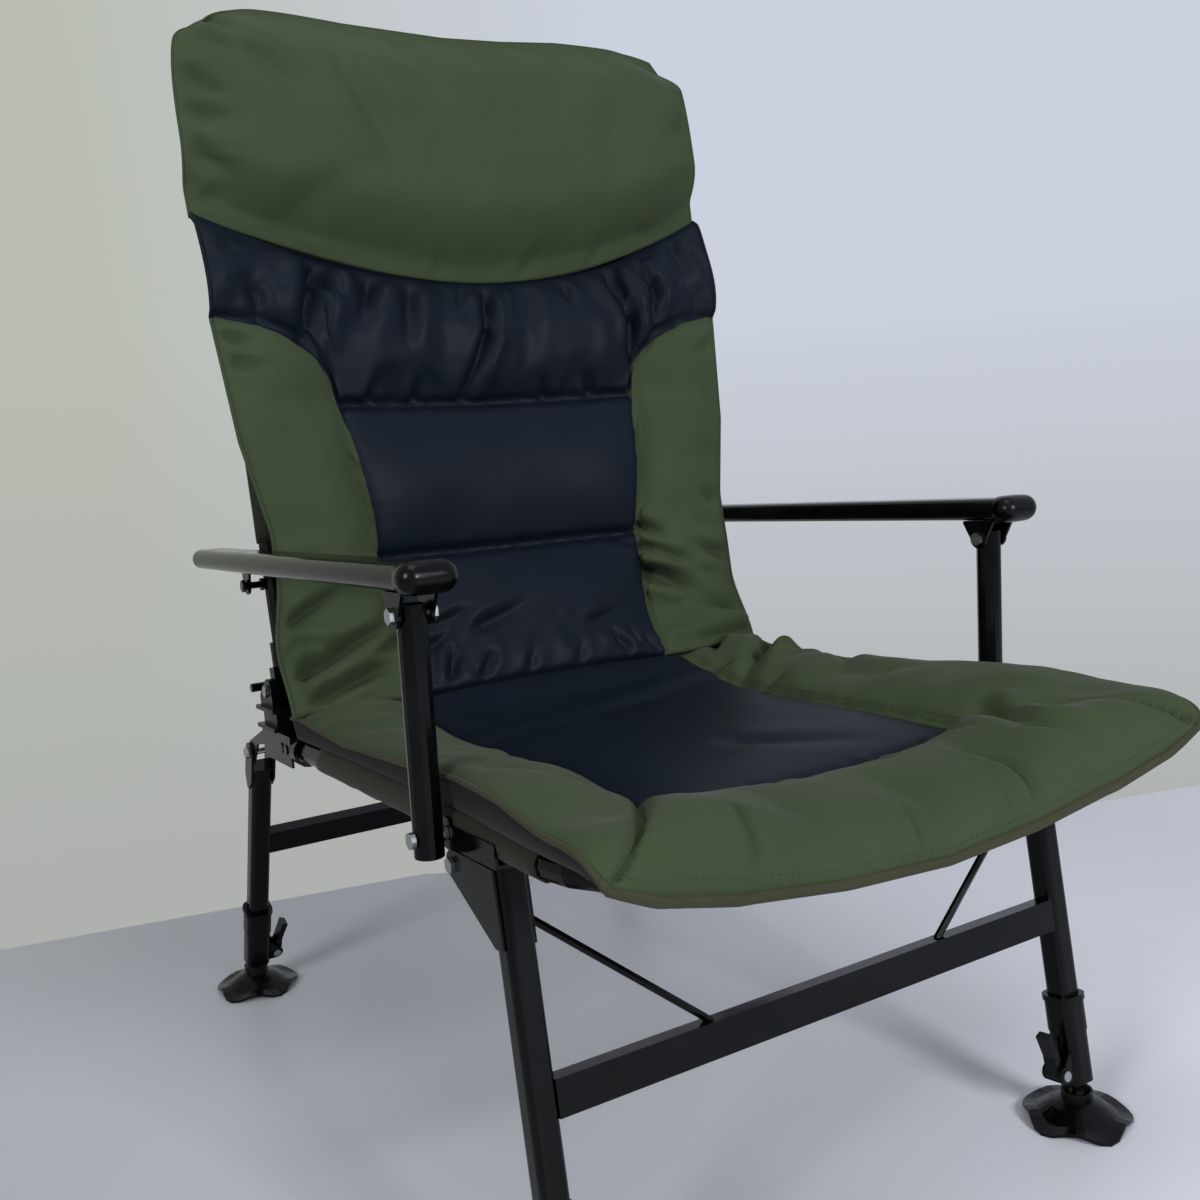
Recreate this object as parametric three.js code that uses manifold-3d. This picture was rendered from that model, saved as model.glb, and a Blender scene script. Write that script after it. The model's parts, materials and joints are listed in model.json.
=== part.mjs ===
// A folding, reclining carp fishing chair with drop-down arms and four telescopic legs.
// Millimetres: x runs across the seat, y to the back and z up. The floor is z = 0.
import * as THREE from "three";
import { mergeVertices } from "three/addons/utils/BufferGeometryUtils.js";
import Module from "manifold-3d";

const wasm = await Module();
wasm.setup();
const rad = THREE.MathUtils.degToRad;

// Stance
const reclinePinY = 201;
const reclinePinZ = 392;
const seatTiltDeg = 2.5;
const backLeanDeg = 10.4;
const frontSplayDeg = 8.7;
const rearSplayDeg = 20.6;
const armTiltDeg = 1.9;
const railX = 262;
const backTubeX = 252;

// Fits
const clearance = 0.3;
const overrun = 2;

// Facets
const tubeSides = 12;
const roundSides = 16;
const hubSides = 24;
const headSides = 6;
const ballSides = 10;
const ballRings = 6;
const cornerSteps = 5;
const bowSteps = 8;
const capSteps = 4;
const skirtSteps = 3;
const lobeSteps = 6;
const plateSteps = 5;
const barSteps = 2;

// Tubes
const railRadius = 11;
const crossTubeRadius = 8;
const legWidth = 22;
const legCorner = 6;
const legWall = 1.6;
const innerLegPlay = 0.5;
const sheet = 2.5;
const boltRadius = 3.5;
const boltHeadRadius = 6.2;
const boltHeadHeight = 3.6;

// Seat frame, placed from the recline pin in the tilted plane of the seat
const railDrop = 53;
const railRearEnd = 20;
const seatDepth = 615;
const seatCornerRadius = 58;
const frontDip = 36;
const seatCrossTubeY = 94;

// Back frame, placed from the recline pin along the leaning back
const backTubeStart = 24;
const backHeight = 662;
const backCornerRadius = 75;
const backCrossTubeZ = 66;

// Slings, whose sleeves run along the side tubes
const clothThickness = 1.6;
const seatSleeve = { rear: 130, frontSetback: 63 };
const backSleeve = { low: 150, topSetback: 102 };
const seatSlingRear = 112;
const slingSag = 36;
const backSlingSag = 26;
const bowSleeveShare = 0.02;
const slingSteps = { across: 12, along: 4 };

// Seat cushion, in the plane of the seat: heights from the recline pin, stations back to front
const seatCushion = {
  overhang: 13,
  waist: 4,
  frontOverhang: 21,
  flareSetback: 195,
  flareLength: 180,
  cornerRound: 9,
  rear: 105,
  panelHalfWidth: 165,
  panelSetback: 115,
  panelBulge: 12,
  frontReach: 19,
  cornerReach: 7,
  panelDip: 10,
  borderPuff: 12,
  frontPuff: 17,
  panelPuff: 6,
  puffStart: 75,
  puffLength: 50,
  sheetGap: 1.7,
  hemWall: 2.5,
};
const seatEdge = { at: [66, 96, 210, 353, 439, 596, 640], z: [-20, -14, -25, -20, -14, -16, -20] };
const seatSeam = { at: [66, 96, 200, 300, 400, 512], z: [-30, -30, -42, -46, -47, -49] };
const seatCrest = { at: [0, 102, 204, 282], z: [-73, -64, -37, -24] };
const seatHem = { at: [0, 90, 180, 240, 282], z: [-92, -87, -75, -60, -42] };

// Back cushion, along the leaning back: depths forward of the tube plane are negative
const backCushion = {
  low: -26,
  lowRise: 16,
  bolsterTop: 362,
  seamDrop: 256,
  seamRise: 78,
  seamHalfWidth: 300,
  innerDepth: -48,
  sideDepth: -72,
  kneeDepth: 26,
  kneeTop: 60,
  kneeLength: 90,
  panelPuff: 20,
  bolsterPuff: 16,
  bolsterCrown: 8,
  bandPuff: 16,
  rearTuck: 22,
  hingeRelief: 26,
  reliefTop: 50,
  reliefLength: 70,
  flatTop: 150,
  flatLength: 60,
  thinnest: 8,
};
const channelHeights = [117, 278];
const backInner = { at: [-26, 117, 200, 278], x: [140, 156, 168, 176] };
const backHalf = { at: [-26, 90, 150, 240, 362, 492], x: [266, 269, 269, 287, 298, 300] };
const backPanel = { at: [-26, 20, 117, 278, 340, 406], y: [-97, -70, -42, -33, -40, -50] };

// Head pillow, over the top of the back
const headPillow = {
  halfWidth: 301,
  waist: 3,
  topTuck: 14,
  rise: 14,
  topRound: 16,
  topLift: 7,
  thickness: 76,
  seamDepth: -50,
  seamSideDepth: -68,
  rearTuck: 22,
  seamGap: 0.8,
};
// Where the pillow tapers and how fast it rises, as shares of its height and half width
const pillowShares = { taperFrom: 0.75, sideTaper: 0.25, topTaper: 0.5, rise: 0.33, fold: 0.17 };

// Grid lines of the cushions: over a border, a panel, the length, and the rest of it
const seatSteps = { border: 4, panel: 8, along: 8, front: 6 };
const backSteps = { border: 5, panel: 8, low: 6, middle: 6, band: 5 };
const pillowSteps = { across: 14, along: 10 };
const cornerPower = 8;

// Recline hinges
const hub = { radius: 13, toothDepth: 2.2, width: 12, neckWidth: 15 };
const toothCount = 22;
const hingePinRadius = 4;
const knuckleCup = { start: 20, length: 28, wall: 2.4, floor: 3 };
const block = {
  width: 26,
  length: 44,
  flangeWidth: 37,
  flangeLength: 58,
  flangeHeight: 4,
  bodyTop: 16,
  cheekRadius: 12,
};
const pawl = { y: 25, z: -11, pinRadius: 2.2, bossRadius: 4.2, noseWidth: 4, handle: 27, handleRise: 9 };
const pawlKnob = { radius: 4.6, length: 21 };
const bracket = {
  front: 62,
  rear: 30,
  depth: 28,
  collarLength: 13,
  collarWall: 4.4,
  rivetRadius: 2.6,
  rivetHeadRadius: 5.2,
  tongueRoot: 4.5,
};
const tongue = { halfGap: 8, radius: 12.5, heelReach: 12, throat: 27.5 };

// Leg frames, hung under the seat
const frontPivotSetback = 187;
const frontPivot = { y: frontPivotSetback - seatDepth, z: -80 };
const rearPivot = { y: 98, z: -78 };
const frontLegOffset = 60;
const frontLegTop = 4;
const rearLegTop = -21;
const legBarDrop = { front: 156, rear: 122 };
const legBar = { height: 27, depth: 14 };
const legPlateRadius = 11;
const gussetDrop = 40;
const brace = { radius: 3.2, legDrop: 34, barX: 118 };
const saddle = { frontSetback: 115, length: 100, depth: 17, lugRadius: 12 };
const innerLegHidden = 152;

// Telescopic clamps and their cam levers, measured down from the clamp's rim
const clamp = {
  length: 78,
  rimHeight: 5,
  rimWall: 4.4,
  collarWall: 3,
  collarLength: 30,
  gripWall: 3.6,
  slot: 2.4,
  earWidth: 3.2,
  earHeight: 20,
};
const cam = { radius: 7.6, width: 13, pinRadius: 2.4, pinHeadRadius: 4.6, drop: 66, offset: 21.5 };
const camLever = {
  length: 38,
  thickness: 4.2,
  flare: 9,
  lean: 3,
  tipRadius: 3,
  inset: 1.9,
  throat: 2.6,
  waist: 16.5,
};

// Mud feet
const foot = {
  radius: 48,
  rimWave: 5.4,
  height: 17,
  wall: 2.6,
  hubRadius: 13.5,
  hubHeight: 28,
  ballRadius: 8.5,
  neckRadius: 4,
  neckLength: 6,
  ballHeight: 21,
  throatRadius: 8,
  throatFlare: 4,
};
const footLobeCount = 5;

// Arms and their posts
const postSetback = 191.5;
const postCushionGap = 4;
const post = {
  bottomY: postSetback - seatDepth,
  bottomZ: -57.5,
  radius: 11,
  wall: 1.6,
  span: 160,
  lowEnd: 14,
  highEnd: 7,
};
const armX = railX + seatCushion.overhang + postCushionGap + post.radius;
const arm = { width: 40, height: 20, front: 43, tail: 92, rise: 27, capLength: 20, capSwell: 2.2 };
const armClevis = { length: 34, earRadius: 9 };
const armLug = { radius: 9, width: 26 };
const spacerRadius = 5.5;

const steel = { roughness: 0.38, metalness: 0.55 };
// Where a point of the tilted seat frame stands over the floor, and how far back
const heightOf = ({ y, z }) => reclinePinZ - y * Math.sin(rad(seatTiltDeg)) + z * Math.cos(rad(seatTiltDeg));
const depthOf = ({ y, z }) => reclinePinY + y * Math.cos(rad(seatTiltDeg)) + z * Math.sin(rad(seatTiltDeg));

// The arm's rear pivot lies where the line of the arm meets the leaning back tube
const lean = Math.tan(rad(backLeanDeg));
const postFoot = { y: post.bottomY, z: post.bottomZ };
const postTop = { y: depthOf(postFoot), z: heightOf(postFoot) + post.span };
const armReach =
  (reclinePinY - postTop.y + (postTop.z - reclinePinZ) * lean) /
  (Math.cos(rad(armTiltDeg)) + Math.sin(rad(armTiltDeg)) * lean);

// Each leg's length from its pivot to the ball of its foot, along the splayed leg
const ballDrop = {
  front:
    (heightOf(frontPivot) - foot.ballHeight) / Math.cos(rad(frontSplayDeg)) +
    frontLegOffset * Math.tan(rad(frontSplayDeg)),
  rear: (heightOf(rearPivot) - foot.ballHeight) / Math.cos(rad(rearSplayDeg)),
};
const rimDrop = (end) => ballDrop[end] - foot.ballRadius - foot.neckLength - clamp.length - clearance;
const legReach = (end) => rimDrop(end) + clamp.collarLength - clearance;

const blackPaint = new THREE.MeshStandardMaterial({ color: 0x16191c, ...steel });
const blackCast = new THREE.MeshStandardMaterial({ color: 0x101215, roughness: 0.5, metalness: 0.2 });
const blackPlastic = new THREE.MeshStandardMaterial({ color: 0x0e1012, roughness: 0.45, metalness: 0 });
const brightZinc = new THREE.MeshStandardMaterial({ color: 0xb9bcc0, roughness: 0.3, metalness: 0.9 });
const greenCloth = new THREE.MeshStandardMaterial({ color: 0x415038, roughness: 0.9, metalness: 0 });
const oliveCloth = new THREE.MeshStandardMaterial({ color: 0x2c2d20, roughness: 0.92, metalness: 0 });

// Solids from geometries, and back

function solidOf(geometry) {
  const loose = geometry.index ? geometry.toNonIndexed() : geometry;
  const bare = new THREE.BufferGeometry().setAttribute("position", loose.getAttribute("position"));
  const merged = mergeVertices(bare);
  return new wasm.Manifold(
    new wasm.Mesh({
      numProp: 3,
      vertProperties: merged.attributes.position.array,
      triVerts: new Uint32Array(merged.index.array),
    }),
  );
}

function geometryOf(solid) {
  const { vertProperties, triVerts } = solid.getMesh();
  const geometry = new THREE.BufferGeometry();
  geometry.setAttribute("position", new THREE.BufferAttribute(vertProperties, 3));
  geometry.setIndex(new THREE.BufferAttribute(triVerts, 1));
  geometry.computeVertexNormals();
  return geometry;
}

const join = (...solids) => solids.reduce((all, one) => all.add(one));
const cut = (body, ...tools) => tools.reduce((left, tool) => left.subtract(tool), body);

function add(group, name, shape, material) {
  const geometry = shape.isBufferGeometry ? shape : geometryOf(shape);
  const mesh = new THREE.Mesh(geometry, material);
  mesh.name = name;
  group.add(mesh);
  return mesh;
}

function placed(parent, x, y, z, turnDeg = 0) {
  const group = new THREE.Group();
  group.position.set(x, y, z);
  group.rotation.x = rad(turnDeg);
  parent.add(group);
  return group;
}

// Plain shapes

const box = (width, depth, height, x, y, z) =>
  solidOf(new THREE.BoxGeometry(width, depth, height).translate(x, y, z));

function rod(radius, length, axis, x, y, z, sides = tubeSides) {
  const geometry = new THREE.CylinderGeometry(radius, radius, length, sides);
  if (axis === "x") geometry.rotateZ(Math.PI / 2);
  if (axis === "z") geometry.rotateX(Math.PI / 2);
  return solidOf(geometry.translate(x, y, z));
}

// A hole that its facets never narrow
const hole = (radius, length, axis, x, y, z, sides = tubeSides) =>
  rod((radius + clearance) / Math.cos(Math.PI / sides), length + overrun, axis, x, y, z, sides);

const yz = new THREE.Matrix4().makeBasis(
  new THREE.Vector3(0, 1, 0),
  new THREE.Vector3(0, 0, 1),
  new THREE.Vector3(1, 0, 0),
);
const xz = new THREE.Matrix4().makeBasis(
  new THREE.Vector3(1, 0, 0),
  new THREE.Vector3(0, 0, 1),
  new THREE.Vector3(0, -1, 0),
);

// A plate of an outline in y and z, from x to x + thickness
function sidePlate(outline, thickness, x) {
  const ready = outline instanceof THREE.Shape;
  const shape = ready ? outline : new THREE.Shape(outline.map(([y, z]) => new THREE.Vector2(y, z)));
  const settings = { depth: thickness, bevelEnabled: false, curveSegments: plateSteps };
  const geometry = new THREE.ExtrudeGeometry(shape, settings);
  return solidOf(geometry.applyMatrix4(yz).translate(x, 0, 0));
}

// A plate of an outline in x and z, centred on y
function facePlate(shape, thickness, y) {
  const settings = { depth: thickness, bevelEnabled: false, curveSegments: capSteps };
  const geometry = new THREE.ExtrudeGeometry(shape, settings);
  return solidOf(geometry.applyMatrix4(xz).translate(0, y + thickness / 2, 0));
}

function roundedSquare(width, depth, corner) {
  const x = width / 2;
  const y = depth / 2;
  const shape = new THREE.Shape();
  shape.moveTo(x, -y + corner);
  shape.absarc(x - corner, y - corner, corner, 0, Math.PI / 2);
  shape.absarc(-x + corner, y - corner, corner, Math.PI / 2, Math.PI);
  shape.absarc(-x + corner, -y + corner, corner, Math.PI, 1.5 * Math.PI);
  shape.absarc(x - corner, -y + corner, corner, 1.5 * Math.PI, 2 * Math.PI);
  return shape;
}

// A straight bar of rounded square section between two heights
function squareBar(width, depth, corner, low, high, x = 0, y = 0) {
  const settings = { depth: high - low, bevelEnabled: false, curveSegments: barSteps };
  const section = roundedSquare(width, depth, corner);
  return solidOf(new THREE.ExtrudeGeometry(section, settings).translate(x, y, low));
}

function disc(radius) {
  const shape = new THREE.Shape();
  shape.absarc(0, 0, radius, 0, 2 * Math.PI);
  return shape;
}

function bentRod(radius, path, sides = tubeSides) {
  const steps = path.stations ? path.stations.length - 1 : 1;
  const settings = { steps, bevelEnabled: false, extrudePath: path, curveSegments: sides / 2 };
  return solidOf(new THREE.ExtrudeGeometry(disc(radius), settings));
}

const spread = (low, high, steps) =>
  Array.from({ length: steps }, (_, step) => low + ((high - low) * step) / steps);

// A U of tube in plan: two legs from start to reach, with round corners and a bow between them
class FrameU extends THREE.Curve {
  constructor(start, reach, halfWidth, corner, dip, place) {
    super();
    Object.assign(this, { start, reach, halfWidth, corner, dip, place });
    this.run = reach - corner - start;
    this.arc = (corner * Math.PI) / 2;
    this.bow = 2 * (halfWidth - corner);
    this.total = 2 * (this.run + this.arc) + this.bow;
    const bend = this.run / this.total;
    const straight = (this.run + this.arc) / this.total;
    this.stations = [
      0,
      ...spread(bend, straight, cornerSteps),
      ...spread(straight, 1 - straight, bowSteps),
      ...spread(1 - straight, 1 - bend, cornerSteps),
      1 - bend,
      1,
    ];
  }
  getUtoTmapping(u) {
    const place = u * (this.stations.length - 1);
    const low = Math.floor(place);
    const high = Math.min(low + 1, this.stations.length - 1);
    return THREE.MathUtils.lerp(this.stations[low], this.stations[high], place - low);
  }
  getPoint(t, target = new THREE.Vector3()) {
    const mirrored = t > 0.5;
    const along = (mirrored ? 1 - t : t) * this.total;
    let across = -this.halfWidth;
    let forward = this.start + along;
    if (along > this.run) {
      const angle = Math.min((along - this.run) / this.corner, Math.PI / 2);
      across = -this.halfWidth + this.corner * (1 - Math.cos(angle));
      forward = this.reach - this.corner * (1 - Math.sin(angle));
      across += Math.max(along - this.run - this.arc, 0);
    }
    const share = 1 - (across / (this.halfWidth - this.corner)) ** 2;
    const drop = Math.abs(across) < this.halfWidth - this.corner ? this.dip * share : 0;
    const [x, y, z] = this.place(mirrored ? -across : across, forward, drop);
    return target.set(x, y, z);
  }
}

// The stretch of another curve between two shares of it
class Stretch extends THREE.Curve {
  constructor(curve, low, high) {
    super();
    Object.assign(this, { curve, low, high });
    this.stations = [...spread(0, 1, bowSteps), 1];
  }
  getPoint(t, target) {
    return this.curve.getPoint(this.low + (this.high - this.low) * t, target);
  }
}

const seatU = (start) =>
  new FrameU(start, seatDepth, railX, seatCornerRadius, frontDip, (across, forward, drop) => [
    across,
    -forward,
    -railDrop - drop,
  ]);
const backU = (start) =>
  new FrameU(start, backHeight, backTubeX, backCornerRadius, 0, (across, forward) => [across, 0, forward]);

// Bolts and rivets

// A bolt along x, its head at the outer end
function bolt(inner, outer, y, z, radius = boltRadius) {
  return join(
    rod(radius, outer - inner, "x", (inner + outer) / 2, y, z),
    rod(boltHeadRadius, boltHeadHeight, "x", outer + boltHeadHeight / 2, y, z, headSides),
    rod(boltHeadRadius, boltHeadHeight, "x", inner - boltHeadHeight / 2, y, z, headSides),
  );
}

// Seat frame: two rails and the dipped front bow in one bent tube, with a straight tube across the rear
function seatFrame() {
  const frame = bentRod(railRadius, seatU(railRearEnd));
  const cross = rod(crossTubeRadius, 2 * railX, "x", 0, -seatCrossTubeY, -railDrop);
  const rivetPlay = bracket.rivetRadius + clearance;
  const holes = [-1, 1].flatMap((side) =>
    rivetPlaces().map((y) => rod(rivetPlay, 4 * railRadius, "x", side * railX, y, -railDrop)),
  );
  return cut(join(frame, cross), ...holes);
}

function rivetPlaces() {
  const pitch = (bracket.front - railRearEnd) / 3;
  return [-bracket.front + pitch, -bracket.front + 2 * pitch];
}

// Hinge bracket: an inverted channel over the rail's rear end, with a tongue down to the rear leg
function hingeBracket() {
  const half = railRadius + 2 * clearance;
  const outer = half + sheet;
  const top = -railDrop + half;
  const channelLow = top - bracket.depth;
  const cheek = [
    [-bracket.front, channelLow],
    [bracket.rear - sheet, channelLow],
    [bracket.rear, top],
    [-bracket.front, top + sheet],
  ];
  const cheeks = [-outer, half].map((x) => sidePlate(cheek, sheet, railX + x));
  const length = bracket.front + bracket.rear;
  const web = box(2 * outer, length, sheet, railX, (bracket.rear - bracket.front) / 2, top + sheet / 2);
  const arms = [-tongue.halfGap - sheet, tongue.halfGap].map((x) =>
    sidePlate(tongueOutline(bracket.tongueRoot, top), sheet, railX + x),
  );
  const ring = (radius, long) =>
    rod(radius, long, "y", railX, -bracket.front - bracket.collarLength / 2, -railDrop, roundSides);
  const collar = cut(
    ring(railRadius + bracket.collarWall, bracket.collarLength),
    ring(railRadius + 2 * clearance, bracket.collarLength + overrun),
  );
  const rivets = rivetPlaces().flatMap((y) => [
    rod(bracket.rivetRadius, 2 * outer + sheet, "x", railX, y, -railDrop, headSides),
    ...[-1, 1].map((end) => rod(bracket.rivetHeadRadius, sheet, "x", railX + end * outer, y, -railDrop)),
  ]);
  const pinHole = rod(boltRadius + clearance, 4 * outer, "x", railX, rearPivot.y, rearPivot.z);
  return cut(join(web, ...cheeks, ...arms, collar, ...rivets), pinHole);
}

// The tongue runs from the channel to the leg pivot, and its square heel stops the splay of the leg
function tongueOutline(rootY, top) {
  const { y, z } = rearPivot;
  const turn = rad(rearSplayDeg + seatTiltDeg);
  const heel = (back, down) => [
    y + back * Math.cos(turn) + down * Math.sin(turn),
    z + back * Math.sin(turn) - down * Math.cos(turn),
  ];
  const heelDown = -rearLegTop - sheet - 2 * clearance;
  const shape = new THREE.Shape();
  const corners = [
    [rootY, top],
    [rootY, top - bracket.depth / 2],
    [y - tongue.throat, z + tongue.radius],
    heel(-tongue.radius * Math.cos(rad(30)), tongue.radius * Math.sin(rad(30))),
    heel(0, heelDown),
    heel(tongue.heelReach, heelDown),
    heel(tongue.heelReach, 0),
    heel(tongue.radius * Math.cos(rad(60)), -tongue.radius * Math.sin(rad(60))),
    [bracket.rear, top],
  ];
  shape.setFromPoints(corners.map(([a, b]) => new THREE.Vector2(a, b)));
  return shape;
}

// Hinge block: a flanged casting that raises the recline pin over the rail
function hingeBlock() {
  const low = -railDrop + railRadius + 2 * clearance + sheet + clearance;
  const top = -block.bodyTop;
  const flange = (z) => box(block.flangeWidth, block.flangeLength, block.flangeHeight, railX, 0, z);
  const body = box(block.width, block.length, top - low, railX, 0, (top + low) / 2);
  const cheekShape = new THREE.Shape();
  cheekShape.moveTo(-block.cheekRadius, top);
  cheekShape.lineTo(-block.cheekRadius, 0);
  cheekShape.absarc(0, 0, block.cheekRadius, Math.PI, Math.PI / 3, true);
  cheekShape.lineTo(pawl.y + pawl.bossRadius, pawl.z + pawl.bossRadius);
  cheekShape.lineTo(pawl.y + pawl.bossRadius, top);
  const half = hub.width / 2 + 2 * clearance;
  const cheekWall = block.width / 2 - half;
  const cheeks = [-block.width / 2, half].map((x) => sidePlate(cheekShape, cheekWall, railX + x));
  const pocket = rod(hub.radius + hub.toothDepth + 2 * clearance, 2 * half, "x", railX, 0, 0, hubSides);
  const holes = [
    rod(hingePinRadius + clearance, 2 * block.width, "x", railX, 0, 0),
    rod(pawl.pinRadius + clearance, 2 * block.width, "x", railX, pawl.y, pawl.z),
  ];
  const flanges = [low + block.flangeHeight / 2, top - block.flangeHeight / 2].map(flange);
  return cut(join(body, ...flanges, ...cheeks), pocket, ...holes);
}

// Back knuckle: the toothed hub on the recline pin and the cup that holds the foot of the back tube
function backKnuckle() {
  const teeth = new THREE.Shape();
  const outer = hub.radius + hub.toothDepth;
  const corners = [];
  for (let tooth = 0; tooth < toothCount; tooth++) {
    const angle = (2 * Math.PI * tooth) / toothCount;
    const gap = Math.PI / toothCount;
    corners.push(new THREE.Vector2(outer * Math.cos(angle), outer * Math.sin(angle)));
    corners.push(new THREE.Vector2(hub.radius * Math.cos(angle + gap), hub.radius * Math.sin(angle + gap)));
  }
  teeth.setFromPoints(corners);
  const cupRadius = railRadius + clearance + knuckleCup.wall;
  const upright = (radius, low) =>
    rod(radius, knuckleCup.length, "z", backTubeX, 0, low + knuckleCup.length / 2, roundSides);
  const cup = upright(cupRadius, knuckleCup.start);
  const bore = upright(railRadius + clearance, backTubeStart - clearance);
  const neckHeight = knuckleCup.start + knuckleCup.floor;
  const neck = box(hub.width, hub.neckWidth, neckHeight, railX, 0, neckHeight / 2);
  const wheel = sidePlate(teeth, hub.width, railX - hub.width / 2);
  const pinHole = rod(hingePinRadius + clearance, 2 * hub.width, "x", railX, 0, 0);
  return cut(join(wheel, neck, cup), bore, pinHole);
}

// Recline lever: a pawl that meets the teeth, with a round finger knob
function reclineLever() {
  const reach = Math.hypot(pawl.y, pawl.z) - hub.radius - hub.toothDepth - 2 * clearance;
  const toHub = Math.atan2(-pawl.z, -pawl.y);
  const width = hub.width - 2 * clearance;
  const boss = rod(pawl.bossRadius, width, "x", 0, 0, 0);
  const nose = box(width, reach, pawl.noseWidth, 0, reach / 2, 0);
  const tilted = nose.rotate([(toHub * 180) / Math.PI, 0, 0]);
  const handle = sidePlate(
    [
      [0, -pawl.bossRadius / 2],
      [pawl.handle, pawl.handleRise - pawl.bossRadius / 2],
      [pawl.handle, pawl.handleRise + pawl.bossRadius / 2],
      [0, pawl.bossRadius / 2],
    ],
    width,
    -width / 2,
  );
  const knobX = (pawlKnob.length - width) / 2;
  const knob = rod(pawlKnob.radius, pawlKnob.length, "x", knobX, pawl.handle, pawl.handleRise);
  const pin = rod(pawl.pinRadius, block.width + 2 * clearance, "x", 0, 0, 0);
  return join(boss, tilted, handle, knob, pin);
}

// Front saddle: a channel under the rail that carries the arm post outside and the front leg below
function frontSaddle() {
  const half = railRadius + 2 * clearance;
  const webTop = -railDrop - half;
  const webLow = webTop - sheet;
  const length = saddle.length;
  const middle = saddle.frontSetback - seatDepth + length / 2;
  const web = box(2 * (half + sheet), length, sheet, railX, middle, webTop - sheet / 2);
  const lip = (x) => box(sheet, length, saddle.depth, railX + x, middle, webLow + saddle.depth / 2);
  const outerLug = join(
    rod(saddle.lugRadius, sheet, "x", railX + half + sheet / 2, post.bottomY, post.bottomZ, roundSides),
    lip(half + sheet / 2),
  );
  const ear = new THREE.Shape();
  ear.moveTo(frontPivot.y - tongue.radius, webTop - sheet / 2);
  ear.lineTo(frontPivot.y - tongue.radius, frontPivot.z);
  ear.absarc(frontPivot.y, frontPivot.z, tongue.radius - sheet, Math.PI, 2 * Math.PI);
  ear.lineTo(frontPivot.y + tongue.radius, webTop - sheet / 2);
  const ears = [-tongue.halfGap - sheet, tongue.halfGap].map((x) => sidePlate(ear, sheet, railX + x));
  const holes = [
    rod(boltRadius + clearance, 4 * half, "x", railX, frontPivot.y, frontPivot.z),
    rod(boltRadius + clearance, 4 * sheet, "x", railX + half + sheet / 2, post.bottomY, post.bottomZ),
  ];
  return cut(join(web, outerLug, lip(-half - sheet / 2), ...ears), ...holes);
}

// Soft sheets and cushions, each a closed form over a grid of two shares, across and along
function padForm(across, along, top, underside) {
  const positions = [];
  const row = across + 1;
  const layer = row * (along + 1);
  for (const face of [top, underside])
    for (let j = 0; j <= along; j++)
      for (let i = 0; i <= across; i++) positions.push(...face(i / across, j / along));
  const indices = [];
  const quad = (a, b, c, d) => indices.push(a, b, c, a, c, d);
  for (let j = 0; j < along; j++)
    for (let i = 0; i < across; i++) {
      const corner = j * row + i;
      quad(corner, corner + 1, corner + row + 1, corner + row);
      quad(layer + corner, layer + corner + row, layer + corner + row + 1, layer + corner + 1);
    }
  for (let i = 0; i < across; i++) {
    const far = along * row + i;
    quad(i, layer + i, layer + i + 1, i + 1);
    quad(far, far + 1, layer + far + 1, layer + far);
  }
  for (let j = 0; j < along; j++) {
    const near = j * row;
    const far = near + across;
    quad(near, near + row, layer + near + row, layer + near);
    quad(far, layer + far, layer + far + row, far + row);
  }
  const geometry = new THREE.BufferGeometry();
  geometry.setAttribute("position", new THREE.Float32BufferAttribute(positions, 3));
  geometry.setIndex(indices);
  return solidOf(geometry);
}

const ease = (t) => t * t * (3 - 2 * t);
const between = (value, low, high) => THREE.MathUtils.clamp((value - low) / (high - low), 0, 1);

// The height of the seat sheet at x, which hangs between the rails as the front bow does
const sheetZ = (x) => {
  const share = Math.min(Math.abs(x) / (railX - seatCornerRadius), 1);
  return -railDrop + railRadius + clearance + clothThickness / 2 - slingSag * (1 - share ** 2);
};

function seatSling() {
  const outer = railRadius + clearance + clothThickness;
  const seatPath = seatU(railRearEnd);
  const bowShare = (seatPath.run + seatPath.arc) / seatPath.total + bowSleeveShare;
  const sleeveFront = seatDepth - seatSleeve.frontSetback;
  const bores = [];
  const sleeves = [-1, 1].map((side) => {
    const middle = -(seatSleeve.rear + sleeveFront) / 2;
    return rod(outer, sleeveFront - seatSleeve.rear, "y", side * railX, middle, -railDrop);
  });
  sleeves.push(bentRod(outer, new Stretch(seatPath, bowShare, 1 - bowShare)));
  bores.push(bentRod(railRadius + clearance, seatPath));
  const front = seatDepth - railRadius / 2;
  const cloth = (lift) => (u, v) => {
    const x = railX * (2 * u - 1);
    return [x, THREE.MathUtils.lerp(-front, -seatSlingRear, v), sheetZ(x) + lift];
  };
  const { across, along } = slingSteps;
  const panel = padForm(across, along, cloth(clothThickness / 2), cloth(-clothThickness / 2));
  const notchLength = saddle.length + 4 * sheet;
  const notchY = saddle.frontSetback - seatDepth + saddle.length / 2;
  const notchZ = -railDrop + railRadius - sheet - outer;
  const notches = [-1, 1].map((side) =>
    box(4 * outer, notchLength, 2 * outer, side * (railX + outer), notchY, notchZ),
  );
  return cut(join(panel, ...sleeves), ...bores, ...notches);
}

function backSling() {
  const outer = railRadius + clearance + clothThickness;
  const high = backHeight - backSleeve.topSetback;
  const length = high - backSleeve.low;
  const middle = (high + backSleeve.low) / 2;
  const tube = (radius, long) => (side) => rod(radius, long, "z", side * backTubeX, 0, middle);
  const sleeves = [-1, 1].map(tube(outer, length));
  const bores = [-1, 1].map(tube(railRadius + clearance, length + overrun));
  const cloth = (lift) => (u, v) => {
    const x = backTubeX * (2 * u - 1);
    const y = backSag(x) - railRadius - clearance - clothThickness / 2 + lift;
    return [x, y, THREE.MathUtils.lerp(backSleeve.low, high, v)];
  };
  const { across, along } = slingSteps;
  const panel = padForm(across, along, cloth(-clothThickness / 2), cloth(clothThickness / 2));
  return cut(join(panel, ...sleeves), ...bores);
}

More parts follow.
